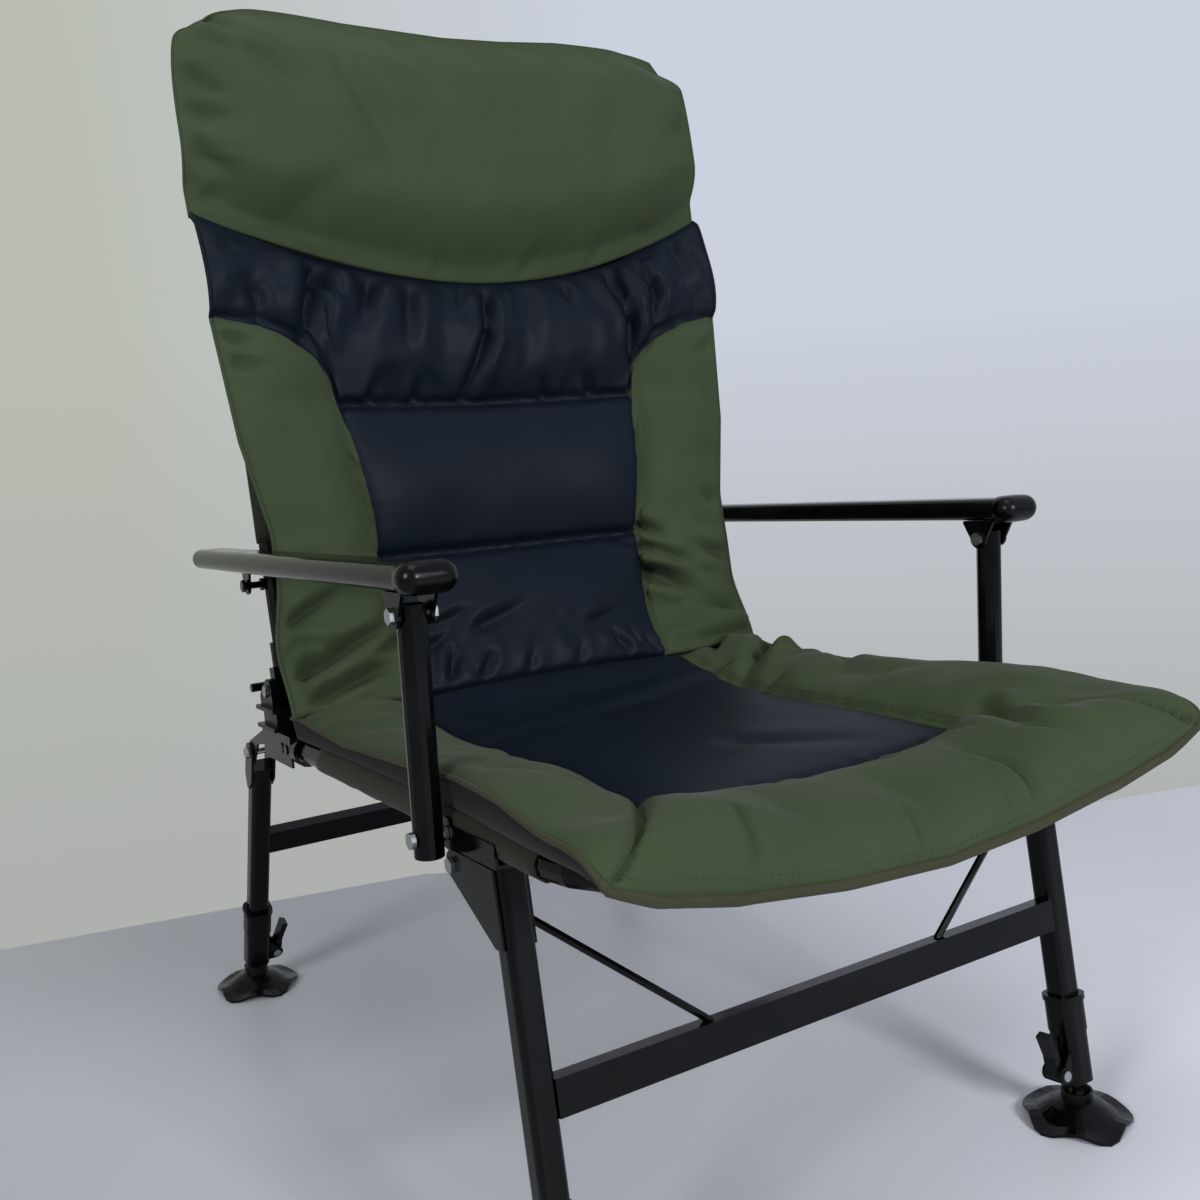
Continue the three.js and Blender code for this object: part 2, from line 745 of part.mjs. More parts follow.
// A height or depth read off a row of stations
function profile({ at, x, y, z }, value) {
  const heights = x ?? y ?? z;
  const next = Math.max(1, at.findIndex((station) => station >= value));
  const high = value > at[at.length - 1] ? at.length - 1 : next;
  const share = between(value, at[high - 1], at[high]);
  return THREE.MathUtils.lerp(heights[high - 1], heights[high], share);
}

// The round of the stuffing between two seams, from none at a seam to 1 midway
const puffed = (share, power = 1 / 2) => (4 * share * (1 - share)) ** power;

// Seat cushion: a panel with a puffed border at its sides and over the front bow
function seatPad() {
  const c = seatCushion;
  const { border, panel, along, front } = seatSteps;
  const across = 2 * border + panel;
  const top = (u, v) => {
    const [i, j] = [Math.round(u * across), Math.round(v * (along + front))];
    const out = Math.max(border - i, i - border - panel, 0) / border;
    const side = Math.sign(i - across / 2);
    const share = THREE.MathUtils.clamp((2 * (i - border)) / panel - 1, -1, 1);
    const ahead = Math.max(j - along, 0) / front;
    const panelFront = seatDepth - c.panelSetback + c.panelBulge * (1 - share ** 2);
    const frontEdge = seatDepth + c.frontReach + c.cornerReach * out;
    const rest = THREE.MathUtils.lerp(c.rear, panelFront, Math.min(j / along, 1));
    const y = THREE.MathUtils.lerp(rest, frontEdge, Math.sin((ahead * Math.PI) / 2));
    const flare = ease(between(y, seatDepth - c.flareSetback, seatDepth - c.flareSetback + c.flareLength));
    const waist = c.waist * Math.sin(Math.PI * Math.min(j / along, 1));
    const drawnIn = c.cornerRound * ahead ** cornerPower + waist;
    const half = railX + THREE.MathUtils.lerp(c.overhang, c.frontOverhang, flare) - drawnIn;
    const x = share * c.panelHalfWidth + side * (half - c.panelHalfWidth) * out;
    const middle = profile(seatSeam, y) - c.panelDip * (1 - share ** 2);
    const flat = THREE.MathUtils.lerp(middle, profile(seatEdge, y), out);
    const [crest, hem] = [seatCrest, seatHem].map((line) => profile(line, Math.abs(x)));
    const turn = (Math.max(2 * ahead - 1, 0) * Math.PI) / 2;
    const raised = THREE.MathUtils.lerp(flat, crest, ease(Math.min(2 * ahead, 1)));
    const rolled = raised - (crest - hem) * (1 - Math.cos(turn));
    const edgePuff = ahead > out ? c.frontPuff : c.borderPuff;
    const fade = ease(between(y, c.puffStart, c.puffStart + c.puffLength));
    const swell = puffed(Math.max(ahead, out)) * edgePuff * fade;
    const centre = ahead + out > 0 ? 0 : c.panelPuff * Math.sqrt(1 - share ** 2) * fade;
    return [x, -y - (swell * Math.sin(turn)) / 2, rolled + swell * Math.cos(turn) + centre, hem, j];
  };
  const underside = (u, v) => {
    const [x, y, z, hem, row] = top(u, v);
    const low = row < along + front ? sheetZ(x) + c.sheetGap : hem;
    return [x, y, Math.min(low, z - c.hemWall)];
  };
  const shown = (u, v) => top(1 - u, v).slice(0, 3);
  return padForm(across, along + front, shown, (u, v) => underside(1 - u, v));
}

const headSeamZ = (x) =>
  backHeight - backCushion.seamDrop + backCushion.seamRise * (x / backCushion.seamHalfWidth) ** 2;
// How far the back sheet hangs behind the front of its tubes at x
const backSag = (x) => backSlingSag * (1 - Math.min(Math.abs(x) / (backTubeX - 2 * railRadius), 1) ** 2);
const backSheetY = (x) => backSag(x) - railRadius - 2 * clearance - clothThickness;

// Back cushion: two quilted panels and a gathered band between two bolsters with round tops
function backPad() {
  const c = backCushion;
  const { border, panel, low, middle, band } = backSteps;
  const across = 2 * border + panel;
  const rows = low + middle + band;
  const place = (u, v) => {
    const [i, j] = [Math.round(u * across), Math.round(v * rows)];
    const out = Math.max(border - i, i - border - panel, 0) / border;
    const side = Math.sign(i - across / 2);
    const share = THREE.MathUtils.clamp((2 * (i - border)) / panel - 1, -1, 1);
    const arch = Math.sqrt(1 - (1 - out) ** 2);
    const roundTop = THREE.MathUtils.lerp(channelHeights[1], c.bolsterTop, arch);
    const foot = c.low + c.lowRise * Math.abs(i / (across / 2) - 1) ** 2;
    const stretches = [low, middle, band].map((count, k, all) => {
      const before = all.slice(0, k).reduce((sum, one) => sum + one, 0);
      return between(j, before, before + count);
    });
    const lower = THREE.MathUtils.lerp(foot, channelHeights[0], stretches[0]);
    const height = lower + (roundTop - channelHeights[0]) * stretches[1];
    const xAt = (z) => {
      const inner = profile(backInner, Math.min(z, channelHeights[1]));
      return share * inner + side * (profile(backHalf, z) - inner) * out;
    };
    const lift = (x) => height + (headSeamZ(x) - roundTop) * stretches[2];
    const z = lift(xAt(height));
    return { x: xAt(z), z, out, share, stretches, inBand: j > low + middle };
  };
  const front = (u, v) => {
    const { x, z, out, share, stretches, inBand } = place(u, v);
    const knee = ease(between(c.kneeTop - z, 0, c.kneeLength));
    const centre = profile(backPanel, z);
    const inner = centre + (c.innerDepth - centre) * share ** 2 * (1 - knee);
    const side = c.sideDepth - c.kneeDepth * knee;
    const here = inBand ? stretches[2] : stretches[1] || stretches[0];
    const along = between(z, c.low, c.bolsterTop);
    const swell = {
      band: c.bandPuff * puffed(here),
      bolster: c.bolsterPuff * puffed(out) * puffed(along, 1 / 4) + c.bolsterCrown * out * (1 - out),
      panel: c.panelPuff * puffed(here),
    }[inBand ? "band" : out > 0 ? "bolster" : "panel"];
    return [x, THREE.MathUtils.lerp(inner, side, out) - swell, z];
  };
  const rear = (u, v) => {
    const [x, y, z] = front(u, v);
    const tucked = x * (1 - c.rearTuck / profile(backHalf, z));
    const flat = -railRadius - 2 * clearance - clothThickness;
    const knee = ease(between(c.flatTop - z, 0, c.flatLength));
    const sheet = THREE.MathUtils.lerp(backSheetY(tucked), flat, knee);
    const relief = c.hingeRelief * ease(between(c.reliefTop - z, 0, c.reliefLength));
    return [tucked, Math.max(sheet - relief - clearance, y + c.thinnest), z];
  };
  return padForm(across, rows, front, rear);
}

// Head pillow: a plump hood over the top of the back, seamed to the band below it
function headPad() {
  const c = headPillow;
  const shares = pillowShares;
  const { across, along } = pillowSteps;
  const front = (u, v) => {
    const out = Math.abs(2 * u - 1);
    const [upTaper, outTaper] = [v, out].map((share) => ease(between(share, shares.taperFrom, 1)));
    const half = c.halfWidth - c.topTuck * upTaper + c.waist * Math.sin(Math.PI * v);
    const x = half * (2 * u - 1);
    const high = backHeight + c.rise - c.topRound * out ** cornerPower + c.topLift * out ** 2;
    const z = THREE.MathUtils.lerp(headSeamZ(x) + c.seamGap, high, v);
    const rise = 1 - (1 - between(v, 0, shares.rise)) ** 2;
    const plump = rise * (1 - shares.topTaper * upTaper) * (1 - shares.sideTaper * outTaper);
    const seamDepth = THREE.MathUtils.lerp(c.seamDepth, c.seamSideDepth, out);
    const full = Math.min(-2 * railRadius - c.thickness * plump, seamDepth);
    return [x, THREE.MathUtils.lerp(seamDepth, full, ease(between(v, 0, shares.fold))), z];
  };
  const rear = (u, v) => {
    const [x, , z] = front(u, v);
    return [x * (1 - c.rearTuck / c.halfWidth), -railRadius - 3 * clearance - clothThickness, z];
  };
  return padForm(across, along, front, rear);
}

// Leg frames

const legPlateInside = tongue.halfGap + sheet + clearance;

function legTubes(y, top, reach) {
  const bore = legWidth - 2 * legWall;
  return [-1, 1].map((side) => {
    const x = side * railX;
    const outside = squareBar(legWidth, legWidth, legCorner, -reach, top, x, y);
    return cut(outside, squareBar(bore, bore, legCorner - legWall, -reach - overrun, top - sheet, x, y));
  });
}

const pivotHoles = () =>
  [-1, 1].map((side) => rod(boltRadius + clearance, 2 * legWidth, "x", side * railX, 0, 0));

function crossBar(y, drop) {
  const span = 2 * railX - legWidth + legWall;
  return box(span, legBar.depth, legBar.height, 0, y, -drop);
}

// Front leg frame: two outer tubes, their pivot plates, the bar between them and two thin braces
function frontLegFrame() {
  const tubes = legTubes(-frontLegOffset, frontLegTop, legReach("front"));
  const plates = [-1, 1].flatMap((side) => [-1, 1].map((face) => pivotPlate(side, face)));
  const barY = -frontLegOffset - (legWidth - legBar.depth) / 2 + legWall / 2;
  const bar = crossBar(barY, legBarDrop.front);
  const braces = [-1, 1].map((side) => {
    const high = new THREE.Vector3(side * (railX - legWidth / 2), -frontLegOffset, -brace.legDrop);
    const low = new THREE.Vector3(side * brace.barX, barY, -legBarDrop.front + legBar.height / 2);
    const reach = new THREE.Vector3().subVectors(low, high).setLength(legWall);
    return bentRod(brace.radius, new THREE.LineCurve3(high.sub(reach), low.add(reach)), headSides);
  });
  return cut(join(...tubes, ...plates, bar, ...braces), ...pivotHoles());
}

// A three-cornered sheet from the pivot to the side of the leg
function pivotPlate(side, face) {
  const shape = new THREE.Shape();
  shape.moveTo(0, legPlateRadius);
  shape.lineTo(-frontLegOffset - legWidth / 2 + legCorner, frontLegTop);
  shape.lineTo(-frontLegOffset - legWidth / 2 + legCorner, -gussetDrop - legPlateRadius);
  shape.lineTo(-frontLegOffset + legWidth / 4, -gussetDrop - legPlateRadius);
  shape.lineTo(legPlateRadius * Math.cos(rad(45)), -legPlateRadius * Math.sin(rad(45)));
  shape.absarc(0, 0, legPlateRadius, -Math.PI / 4, Math.PI / 2);
  const x = side * railX + (face > 0 ? legPlateInside : -legPlateInside - sheet);
  return sidePlate(shape, sheet, x);
}

// Rear leg frame: two outer tubes with pointed clevis plates, and the bar between them
function rearLegFrame() {
  const tubes = legTubes(0, rearLegTop, legReach("rear"));
  const plates = [-1, 1].flatMap((side) =>
    [-legPlateInside - sheet, legPlateInside].map((x) => sidePlate(clevisOutline(), sheet, side * railX + x)),
  );
  const caps = [-1, 1].map((side) =>
    box(2 * (legPlateInside + sheet), legWidth, sheet, side * railX, 0, rearLegTop + sheet / 2),
  );
  const bar = crossBar(0, legBarDrop.rear);
  return cut(join(...tubes, ...plates, ...caps, bar), ...pivotHoles());
}

function clevisOutline() {
  const shape = new THREE.Shape();
  shape.moveTo(legPlateRadius, 0);
  shape.absarc(0, 0, legPlateRadius, 0, Math.PI);
  shape.lineTo(-legPlateRadius, rearLegTop - legPlateRadius);
  shape.lineTo(-sheet, rearLegTop - 2 * legPlateRadius - sheet);
  shape.lineTo(sheet, rearLegTop - 2 * legPlateRadius - sheet);
  shape.lineTo(legPlateRadius, rearLegTop - legPlateRadius);
  return shape;
}

// Inner leg: a tube that slides in the outer leg, with a neck and ball below
function innerLeg(drop) {
  const width = legWidth - 2 * legWall - innerLegPlay;
  const bore = width - 2 * legWall;
  const low = -drop + foot.ballRadius + foot.neckLength;
  const high = low + innerLegHidden;
  const tube = cut(
    squareBar(width, width, legCorner - legWall, low, high),
    squareBar(bore, bore, legCorner - 2 * legWall, low + 2 * sheet, high + overrun),
  );
  const neckLength = foot.ballRadius + foot.neckLength + sheet;
  const neck = rod(foot.neckRadius, neckLength, "z", 0, 0, (low - drop + sheet) / 2);
  const ball = new THREE.SphereGeometry(foot.ballRadius, ballSides, ballRings);
  return join(tube, neck, solidOf(ball.translate(0, 0, -drop)));
}

// Leg clamp: a collar on the outer leg whose split lower half the cam lever draws round the inner leg
function legClamp() {
  const innerBore = legWidth - 2 * legWall - innerLegPlay + 4 * clearance;
  const collarBore = legWidth + 2 * clearance;
  const collarLow = clamp.collarLength + sheet;
  const bar = (width, high, low, corner) => squareBar(width, width, corner, low, high);
  const body = join(
    bar(collarBore + 2 * clamp.rimWall, 0, -clamp.rimHeight, legCorner + clamp.rimWall),
    bar(collarBore + 2 * clamp.collarWall, -clamp.rimHeight, -collarLow, legCorner + clamp.collarWall),
    bar(innerBore + 2 * clamp.gripWall, -collarLow, -clamp.length, legCorner + clamp.gripWall / 2),
  );
  const ears = [-1, 1].map((side) => {
    const shape = new THREE.Shape();
    const root = -innerBore / 2 - clamp.gripWall / 2;
    shape.moveTo(root, -cam.drop + clamp.earHeight);
    shape.lineTo(-cam.offset, -cam.drop + cam.radius);
    shape.absarc(-cam.offset, -cam.drop, cam.radius - clearance, Math.PI / 2, 1.5 * Math.PI);
    shape.lineTo(root, -cam.drop - cam.radius);
    return facePlate(shape, clamp.earWidth, side * (cam.width / 2 + clearance + clamp.earWidth / 2));
  });
  const tools = [
    bar(collarBore, overrun, -clamp.collarLength, legCorner),
    bar(innerBore, overrun, -clamp.length - overrun, legCorner - legWall),
    box(innerBore, clamp.slot, clamp.length, -innerBore / 2, 0, -collarLow - sheet - clamp.length / 2),
    hole(cam.pinRadius, cam.width + 2 * clamp.earWidth, "y", -cam.offset, 0, -cam.drop),
  ];
  return cut(join(body, ...ears), ...tools);
}

// Cam lever: a round cam on its pin with a finger tab that stands up beside the leg
function leverOfCam() {
  const shape = new THREE.Shape();
  shape.absarc(0, 0, cam.radius - clearance, rad(153), rad(288));
  shape.lineTo(camLever.inset, -camLever.throat);
  shape.lineTo(camLever.inset, camLever.waist / 2);
  shape.lineTo(camLever.inset - camLever.lean, camLever.waist);
  shape.lineTo(-camLever.flare + camLever.thickness / 2, camLever.length);
  shape.lineTo(-camLever.flare - camLever.thickness, camLever.length - camLever.tipRadius);
  shape.lineTo(-camLever.thickness - camLever.lean, camLever.waist);
  const lever = facePlate(shape, cam.width, 0);
  return cut(lever, rod(cam.pinRadius + clearance, 2 * cam.width, "y", 0, 0, 0));
}

function camPin() {
  const reach = cam.width + 2 * clearance + 2 * clamp.earWidth + 2 * clearance;
  const heads = [-1, 1].map((end) =>
    rod(cam.pinHeadRadius, clamp.earWidth / 2, "y", 0, end * (reach / 2 + clamp.earWidth / 4), 0, tubeSides),
  );
  return join(rod(cam.pinRadius, reach, "y", 0, 0, 0, tubeSides), ...heads);
}

// Mud foot: a shallow cone of lobes with a wavy rim, and a socket for the ball
function mudFoot() {
  const surface = (lift) => (u, v) => {
    const angle = 2 * Math.PI * u;
    const flute = (1 - Math.cos(footLobeCount * angle)) / 2;
    const rim = foot.radius - foot.rimWave * (1 - flute);
    const radius = THREE.MathUtils.lerp(foot.hubRadius - foot.wall, rim, v);
    const cone = foot.height * (1 - ease(v)) ** 1.2;
    const wave = foot.rimWave * (1 - flute) * v ** 1.5;
    return [radius * Math.cos(angle), radius * Math.sin(angle), cone + wave + lift];
  };
  const skirt = ringForm(lobeSteps * footLobeCount, skirtSteps, surface(foot.wall), surface(0));
  const socketed = rod(foot.hubRadius, foot.hubHeight, "z", 0, 0, foot.hubHeight / 2, roundSides);
  const socketRadius = foot.ballRadius + 2 * clearance;
  const socket = solidOf(
    new THREE.SphereGeometry(socketRadius, ballSides, ballRings).translate(0, 0, foot.ballHeight),
  );
  const rise = foot.hubHeight - foot.ballHeight;
  const mouthRadius = foot.throatRadius + foot.throatFlare;
  const mouth = new THREE.CylinderGeometry(mouthRadius, foot.throatRadius, rise, roundSides);
  const throat = solidOf(mouth.rotateX(Math.PI / 2).translate(0, 0, foot.ballHeight + rise / 2 + clearance));
  return cut(join(skirt, socketed), socket, throat);
}

// A closed ring whose faces are given over shares of the turn and of the way out
function ringForm(around, out, top, underside) {
  const positions = [];
  for (const face of [top, underside])
    for (let j = 0; j <= out; j++)
      for (let i = 0; i < around; i++) positions.push(...face(i / around, j / out));
  const layer = around * (out + 1);
  const indices = [];
  const quad = (a, b, c, d) => indices.push(a, b, c, a, c, d);
  for (let i = 0; i < around; i++) {
    const next = (i + 1) % around;
    for (let j = 0; j < out; j++) {
      const near = j * around;
      const far = near + around;
      quad(near + i, far + i, far + next, near + next);
      quad(layer + near + i, layer + near + next, layer + far + next, layer + far + i);
    }
    const rim = out * around;
    quad(i, next, layer + next, layer + i);
    quad(rim + i, layer + rim + i, layer + rim + next, rim + next);
  }
  const geometry = new THREE.BufferGeometry();
  geometry.setAttribute("position", new THREE.Float32BufferAttribute(positions, 3));
  geometry.setIndex(indices);
  return solidOf(geometry);
}

// Arm post: a round tube, closed below, that turns on a bolt at each end
function armPost() {
  const low = -post.lowEnd;
  const high = post.span + post.highEnd;
  const bore = rod(post.radius - post.wall, high - low, "z", 0, 0, (low + high) / 2 + sheet);
  const holes = [0, post.span].map((z) => rod(boltRadius + clearance, 4 * post.radius, "x", 0, 0, z));
  return cut(rod(post.radius, high - low, "z", 0, 0, (low + high) / 2, roundSides), bore, ...holes);
}

function ovalBar(width, height, front, rear) {
  const settings = { depth: rear - front, bevelEnabled: false, curveSegments: capSteps };
  const shape = roundedSquare(width, height, height / 2);
  return new THREE.ExtrudeGeometry(shape, settings).rotateX(-Math.PI / 2).translate(0, front, 0);
}

// Arm: a flat oval tube with a pivot lug below its rear part
const lugX = (arm.height - arm.width) / 2;

function armBar() {
  const rear = armReach + arm.tail;
  const bar = ovalBar(arm.width, arm.height, -arm.front + arm.capLength, rear).translate(0, 0, arm.rise);
  const inner = ovalBar(arm.width - 2 * sheet, arm.height - 2 * sheet, -arm.front, rear - 2 * sheet);
  const tube = cut(solidOf(bar), solidOf(inner.translate(0, 0, arm.rise)));
  const lug = new THREE.Shape();
  const root = arm.rise - arm.height / 2 + sheet / 2;
  lug.absarc(armReach, 0, armLug.radius, Math.PI, 2 * Math.PI);
  lug.lineTo(armReach + armLug.width / 2, root);
  lug.lineTo(armReach - armLug.width / 2, root);
  const hole = rod(boltRadius + clearance, 4 * sheet, "x", lugX, armReach, 0);
  return cut(join(tube, sidePlate(lug, sheet, lugX - sheet / 2)), hole);
}

// A closed form over a row of rings with equal numbers of points
function loft(rings) {
  const count = rings[0].length;
  const positions = rings.flat(2);
  const indices = [];
  for (let ring = 0; ring + 1 < rings.length; ring++)
    for (let i = 0; i < count; i++) {
      const [a, b] = [ring * count + i, ring * count + ((i + 1) % count)];
      indices.push(a, b + count, b, a, a + count, b + count);
    }
  const last = (rings.length - 1) * count;
  for (let i = 1; i + 1 < count; i++) indices.push(0, i, i + 1, last, last + i + 1, last + i);
  const geometry = new THREE.BufferGeometry();
  geometry.setAttribute("position", new THREE.Float32BufferAttribute(positions, 3));
  geometry.setIndex(indices);
  return solidOf(geometry);
}

// Front cap of the arm: a moulded plug with a rounded nose
function armCap() {
  const noseLength = arm.height / 2;
  const nose = spread(0, 1, capSteps).map((share) => [
    -arm.front + noseLength * share,
    Math.sin(Math.acos(1 - share - 1 / capSteps / 2)),
  ]);
  const stations = [...nose, [-arm.front + noseLength, 1], [-arm.front + arm.capLength - clearance, 1]];
  const rings = stations.map(([y, fullness]) => {
    const shrink = (1 - fullness) * noseLength;
    const [width, height] = [arm.width, arm.height].map((size) => size + 2 * arm.capSwell - 2 * shrink);
    const outline = roundedSquare(width, height, height / 2 - clearance).getPoints(capSteps);
    return outline.slice(0, 4 * capSteps + 3).map((point) => [point.x, y, point.y]);
  });
  const [plugWidth, plugHeight] = [arm.width, arm.height].map((size) => size - 2 * sheet - 2 * clearance);
  const plug = ovalBar(plugWidth, plugHeight, -arm.front + noseLength, -arm.front + 2 * arm.capLength);
  return join(loft(rings), solidOf(plug));
}

// Arm clevis: a U of sheet under the arm whose ears hold the post
function clevisOfArm() {
  const half = post.radius + 2 * clearance;
  const roof = arm.rise - arm.height / 2 - clearance;
  const ear = new THREE.Shape();
  ear.moveTo(-armClevis.length / 2, roof);
  ear.lineTo(-armClevis.length / 2, roof - sheet);
  ear.lineTo(-armClevis.earRadius, 0);
  ear.absarc(0, 0, armClevis.earRadius, Math.PI, 2 * Math.PI);
  ear.lineTo(armClevis.length / 2, roof - sheet);
  ear.lineTo(armClevis.length / 2, roof);
  const ears = [-half - sheet, half].map((x) => sidePlate(ear, sheet, x));
  const web = box(2 * (half + sheet), armClevis.length, sheet, 0, 0, roof - sheet / 2);
  return cut(join(web, ...ears), rod(boltRadius + clearance, 4 * half, "x", 0, 0, 0));
}

// The chair
const chair = new THREE.Group();
const seat = placed(chair, 0, reclinePinY, reclinePinZ, -seatTiltDeg);
add(seat, "seat_frame", seatFrame(), blackPaint);
add(seat, "seat_sling", seatSling(), oliveCloth);
add(seat, "seat_cushion", seatPad(), greenCloth);

const back = placed(chair, 0, reclinePinY, reclinePinZ, -backLeanDeg);
const backTube = bentRod(railRadius, backU(backTubeStart));
const backCross = rod(crossTubeRadius, 2 * backTubeX, "x", 0, 0, backCrossTubeZ);
add(back, "back_frame", join(backTube, backCross), blackPaint);
add(back, "back_sling", backSling(), oliveCloth);
add(back, "back_cushion", backPad(), greenCloth);
add(back, "head_pillow", headPad(), greenCloth);

const frontLegs = placed(seat, 0, frontPivot.y, frontPivot.z, seatTiltDeg - frontSplayDeg);
add(frontLegs, "front_leg_frame", frontLegFrame(), blackPaint);
const rearLegs = placed(seat, 0, rearPivot.y, rearPivot.z, seatTiltDeg + rearSplayDeg);
add(rearLegs, "rear_leg_frame", rearLegFrame(), blackPaint);

// One side of the chair is drawn at positive x, and the other is its mirror image
function mirrored(parent, side) {
  const group = new THREE.Group();
  group.scale.x = side;
  parent.add(group);
  return group;
}

for (const [name, side] of [
  ["left", 1],
  ["right", -1],
]) {
  const onSeat = mirrored(seat, side);
  add(onSeat, `${name}_hinge_bracket`, hingeBracket(), blackPaint);
  add(onSeat, `${name}_hinge_block`, hingeBlock(), blackCast);
  const pinReach = block.width / 2 + clearance;
  const reclinePin = bolt(railX - pinReach, railX + pinReach, 0, 0, hingePinRadius);
  add(onSeat, `${name}_recline_pin`, reclinePin, brightZinc);
  add(onSeat, `${name}_front_saddle`, frontSaddle(), blackPaint);
  const lever = placed(onSeat, railX, pawl.y, pawl.z);
  add(lever, `${name}_recline_lever`, reclineLever(), blackPlastic);
  const legBoltReach = legPlateInside + sheet + clearance;
  const legBolt = (pivot) => bolt(railX - legBoltReach, railX + legBoltReach, pivot.y, pivot.z);
  add(onSeat, `${name}_front_leg_bolt`, legBolt(frontPivot), brightZinc);
  add(onSeat, `${name}_rear_leg_bolt`, legBolt(rearPivot), brightZinc);

  const plateInside = railX + railRadius + 2 * clearance;
  const plateOutside = plateInside + sheet;
  const postInside = armX - post.radius;
  const spacerLength = postInside - plateOutside - 2 * clearance;
  const onPost = (radius, low, high) =>
    rod(radius, high - low, "x", (low + high) / 2, post.bottomY, post.bottomZ);
  const postBoltHead = armX + post.radius + clearance;
  const postBolt = join(
    onPost(boltRadius, plateInside - clearance, postBoltHead),
    onPost(boltHeadRadius, postBoltHead, postBoltHead + boltHeadHeight),
    onPost(spacerRadius, plateOutside + clearance, plateOutside + clearance + spacerLength),
  );
  add(onSeat, `${name}_post_lower_bolt`, postBolt, brightZinc);

  const onBack = mirrored(back, side);
  add(onBack, `${name}_back_knuckle`, backKnuckle(), blackCast);

  const postGroup = placed(onSeat, armX, post.bottomY, post.bottomZ, seatTiltDeg);
  add(postGroup, `${name}_arm_post`, armPost(), blackPaint);
  const armGroup = placed(postGroup, 0, 0, post.span, -armTiltDeg);
  add(armGroup, `${name}_arm`, armBar(), blackPaint);
  add(armGroup, `${name}_arm_cap`, armCap().translate([0, 0, arm.rise]), blackPlastic);
  add(armGroup, `${name}_arm_clevis`, clevisOfArm(), blackPaint);
  const clevisReach = post.radius + 2 * clearance + sheet + clearance;
  add(armGroup, `${name}_post_upper_bolt`, bolt(-clevisReach, clevisReach, 0, 0), brightZinc);
  const tubeSide = backTubeX - armX + railRadius;
  const lugBolt = bolt(tubeSide + 2 * clearance + boltHeadHeight, lugX + sheet, armReach, 0);
  add(armGroup, `${name}_arm_rear_bolt`, lugBolt, brightZinc);

  for (const [end, frame, offset] of [
    ["front", frontLegs, frontLegOffset],
    ["rear", rearLegs, 0],
  ]) {
    const onLeg = placed(mirrored(frame, side), railX, -offset, 0);
    const clampGroup = placed(onLeg, 0, 0, -rimDrop(end));
    add(clampGroup, `${name}_${end}_leg_clamp`, legClamp(), blackPlastic);
    const camGroup = placed(clampGroup, -cam.offset, 0, -cam.drop);
    add(camGroup, `${name}_${end}_cam_pin`, camPin(), brightZinc);
    add(camGroup, `${name}_${end}_cam_lever`, leverOfCam(), blackPlastic);
    add(onLeg, `${name}_${end}_inner_leg`, innerLeg(ballDrop[end]), blackPaint);
    const splay = end === "front" ? frontSplayDeg : -rearSplayDeg;
    const footGroup = placed(onLeg, 0, 0, -ballDrop[end], splay);
    add(placed(footGroup, 0, 0, -foot.ballHeight), `${name}_${end}_foot`, mudFoot(), blackPlastic);
  }
}

export default chair;
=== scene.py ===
import bpy, bmesh, json
import numpy as np
from math import radians, sin, cos, pi
from mathutils import Vector, Matrix


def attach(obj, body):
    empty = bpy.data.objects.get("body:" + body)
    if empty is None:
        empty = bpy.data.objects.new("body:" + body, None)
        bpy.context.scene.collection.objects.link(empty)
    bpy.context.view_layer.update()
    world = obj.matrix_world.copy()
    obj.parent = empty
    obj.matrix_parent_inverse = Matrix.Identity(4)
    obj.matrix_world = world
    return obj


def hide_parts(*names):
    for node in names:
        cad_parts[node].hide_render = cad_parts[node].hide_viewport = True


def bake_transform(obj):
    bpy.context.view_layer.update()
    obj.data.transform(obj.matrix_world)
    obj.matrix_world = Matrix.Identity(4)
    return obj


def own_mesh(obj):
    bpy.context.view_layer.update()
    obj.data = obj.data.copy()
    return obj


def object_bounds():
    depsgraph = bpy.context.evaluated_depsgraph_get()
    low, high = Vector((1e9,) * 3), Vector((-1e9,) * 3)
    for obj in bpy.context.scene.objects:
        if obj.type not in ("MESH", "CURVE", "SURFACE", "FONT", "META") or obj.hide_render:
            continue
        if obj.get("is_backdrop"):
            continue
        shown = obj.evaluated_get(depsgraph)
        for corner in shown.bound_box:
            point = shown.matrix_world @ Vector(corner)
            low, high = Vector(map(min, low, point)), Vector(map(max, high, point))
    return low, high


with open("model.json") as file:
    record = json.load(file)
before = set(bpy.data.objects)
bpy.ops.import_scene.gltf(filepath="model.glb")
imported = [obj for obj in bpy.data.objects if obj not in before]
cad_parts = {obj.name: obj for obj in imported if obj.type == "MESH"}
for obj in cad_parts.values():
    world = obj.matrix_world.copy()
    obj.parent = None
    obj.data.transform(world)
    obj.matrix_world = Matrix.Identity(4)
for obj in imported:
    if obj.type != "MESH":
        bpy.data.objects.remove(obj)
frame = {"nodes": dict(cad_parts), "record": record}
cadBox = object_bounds()
nodes = frame["nodes"]
print("frame loaded")

recline = {"pinY": 201.0, "pinZ": 392.0, "seatTilt": 2.5, "backLean": 10.4}  # mm and degrees


def tilted(degrees):  # points drawn flat, in mm from the recline pin, to metres in the chair
    c, s = cos(radians(degrees)), sin(radians(degrees))

    def place(p):
        p = np.asarray(p, float)
        x, y, z = p[..., 0], p[..., 1], p[..., 2]
        return np.stack([x, recline["pinY"] + y * c + z * s, recline["pinZ"] - y * s + z * c], -1) / 1000

    return place


onSeat = tilted(recline["seatTilt"])
onBack = tilted(recline["backLean"])


# Finishes

def linear(hexColour):
    parts = [int(hexColour[i:i + 2], 16) / 255 for i in (1, 3, 5)]
    return tuple([c / 12.92 if c <= 0.04045 else ((c + 0.055) / 1.055) ** 2.4 for c in parts] + [1.0])


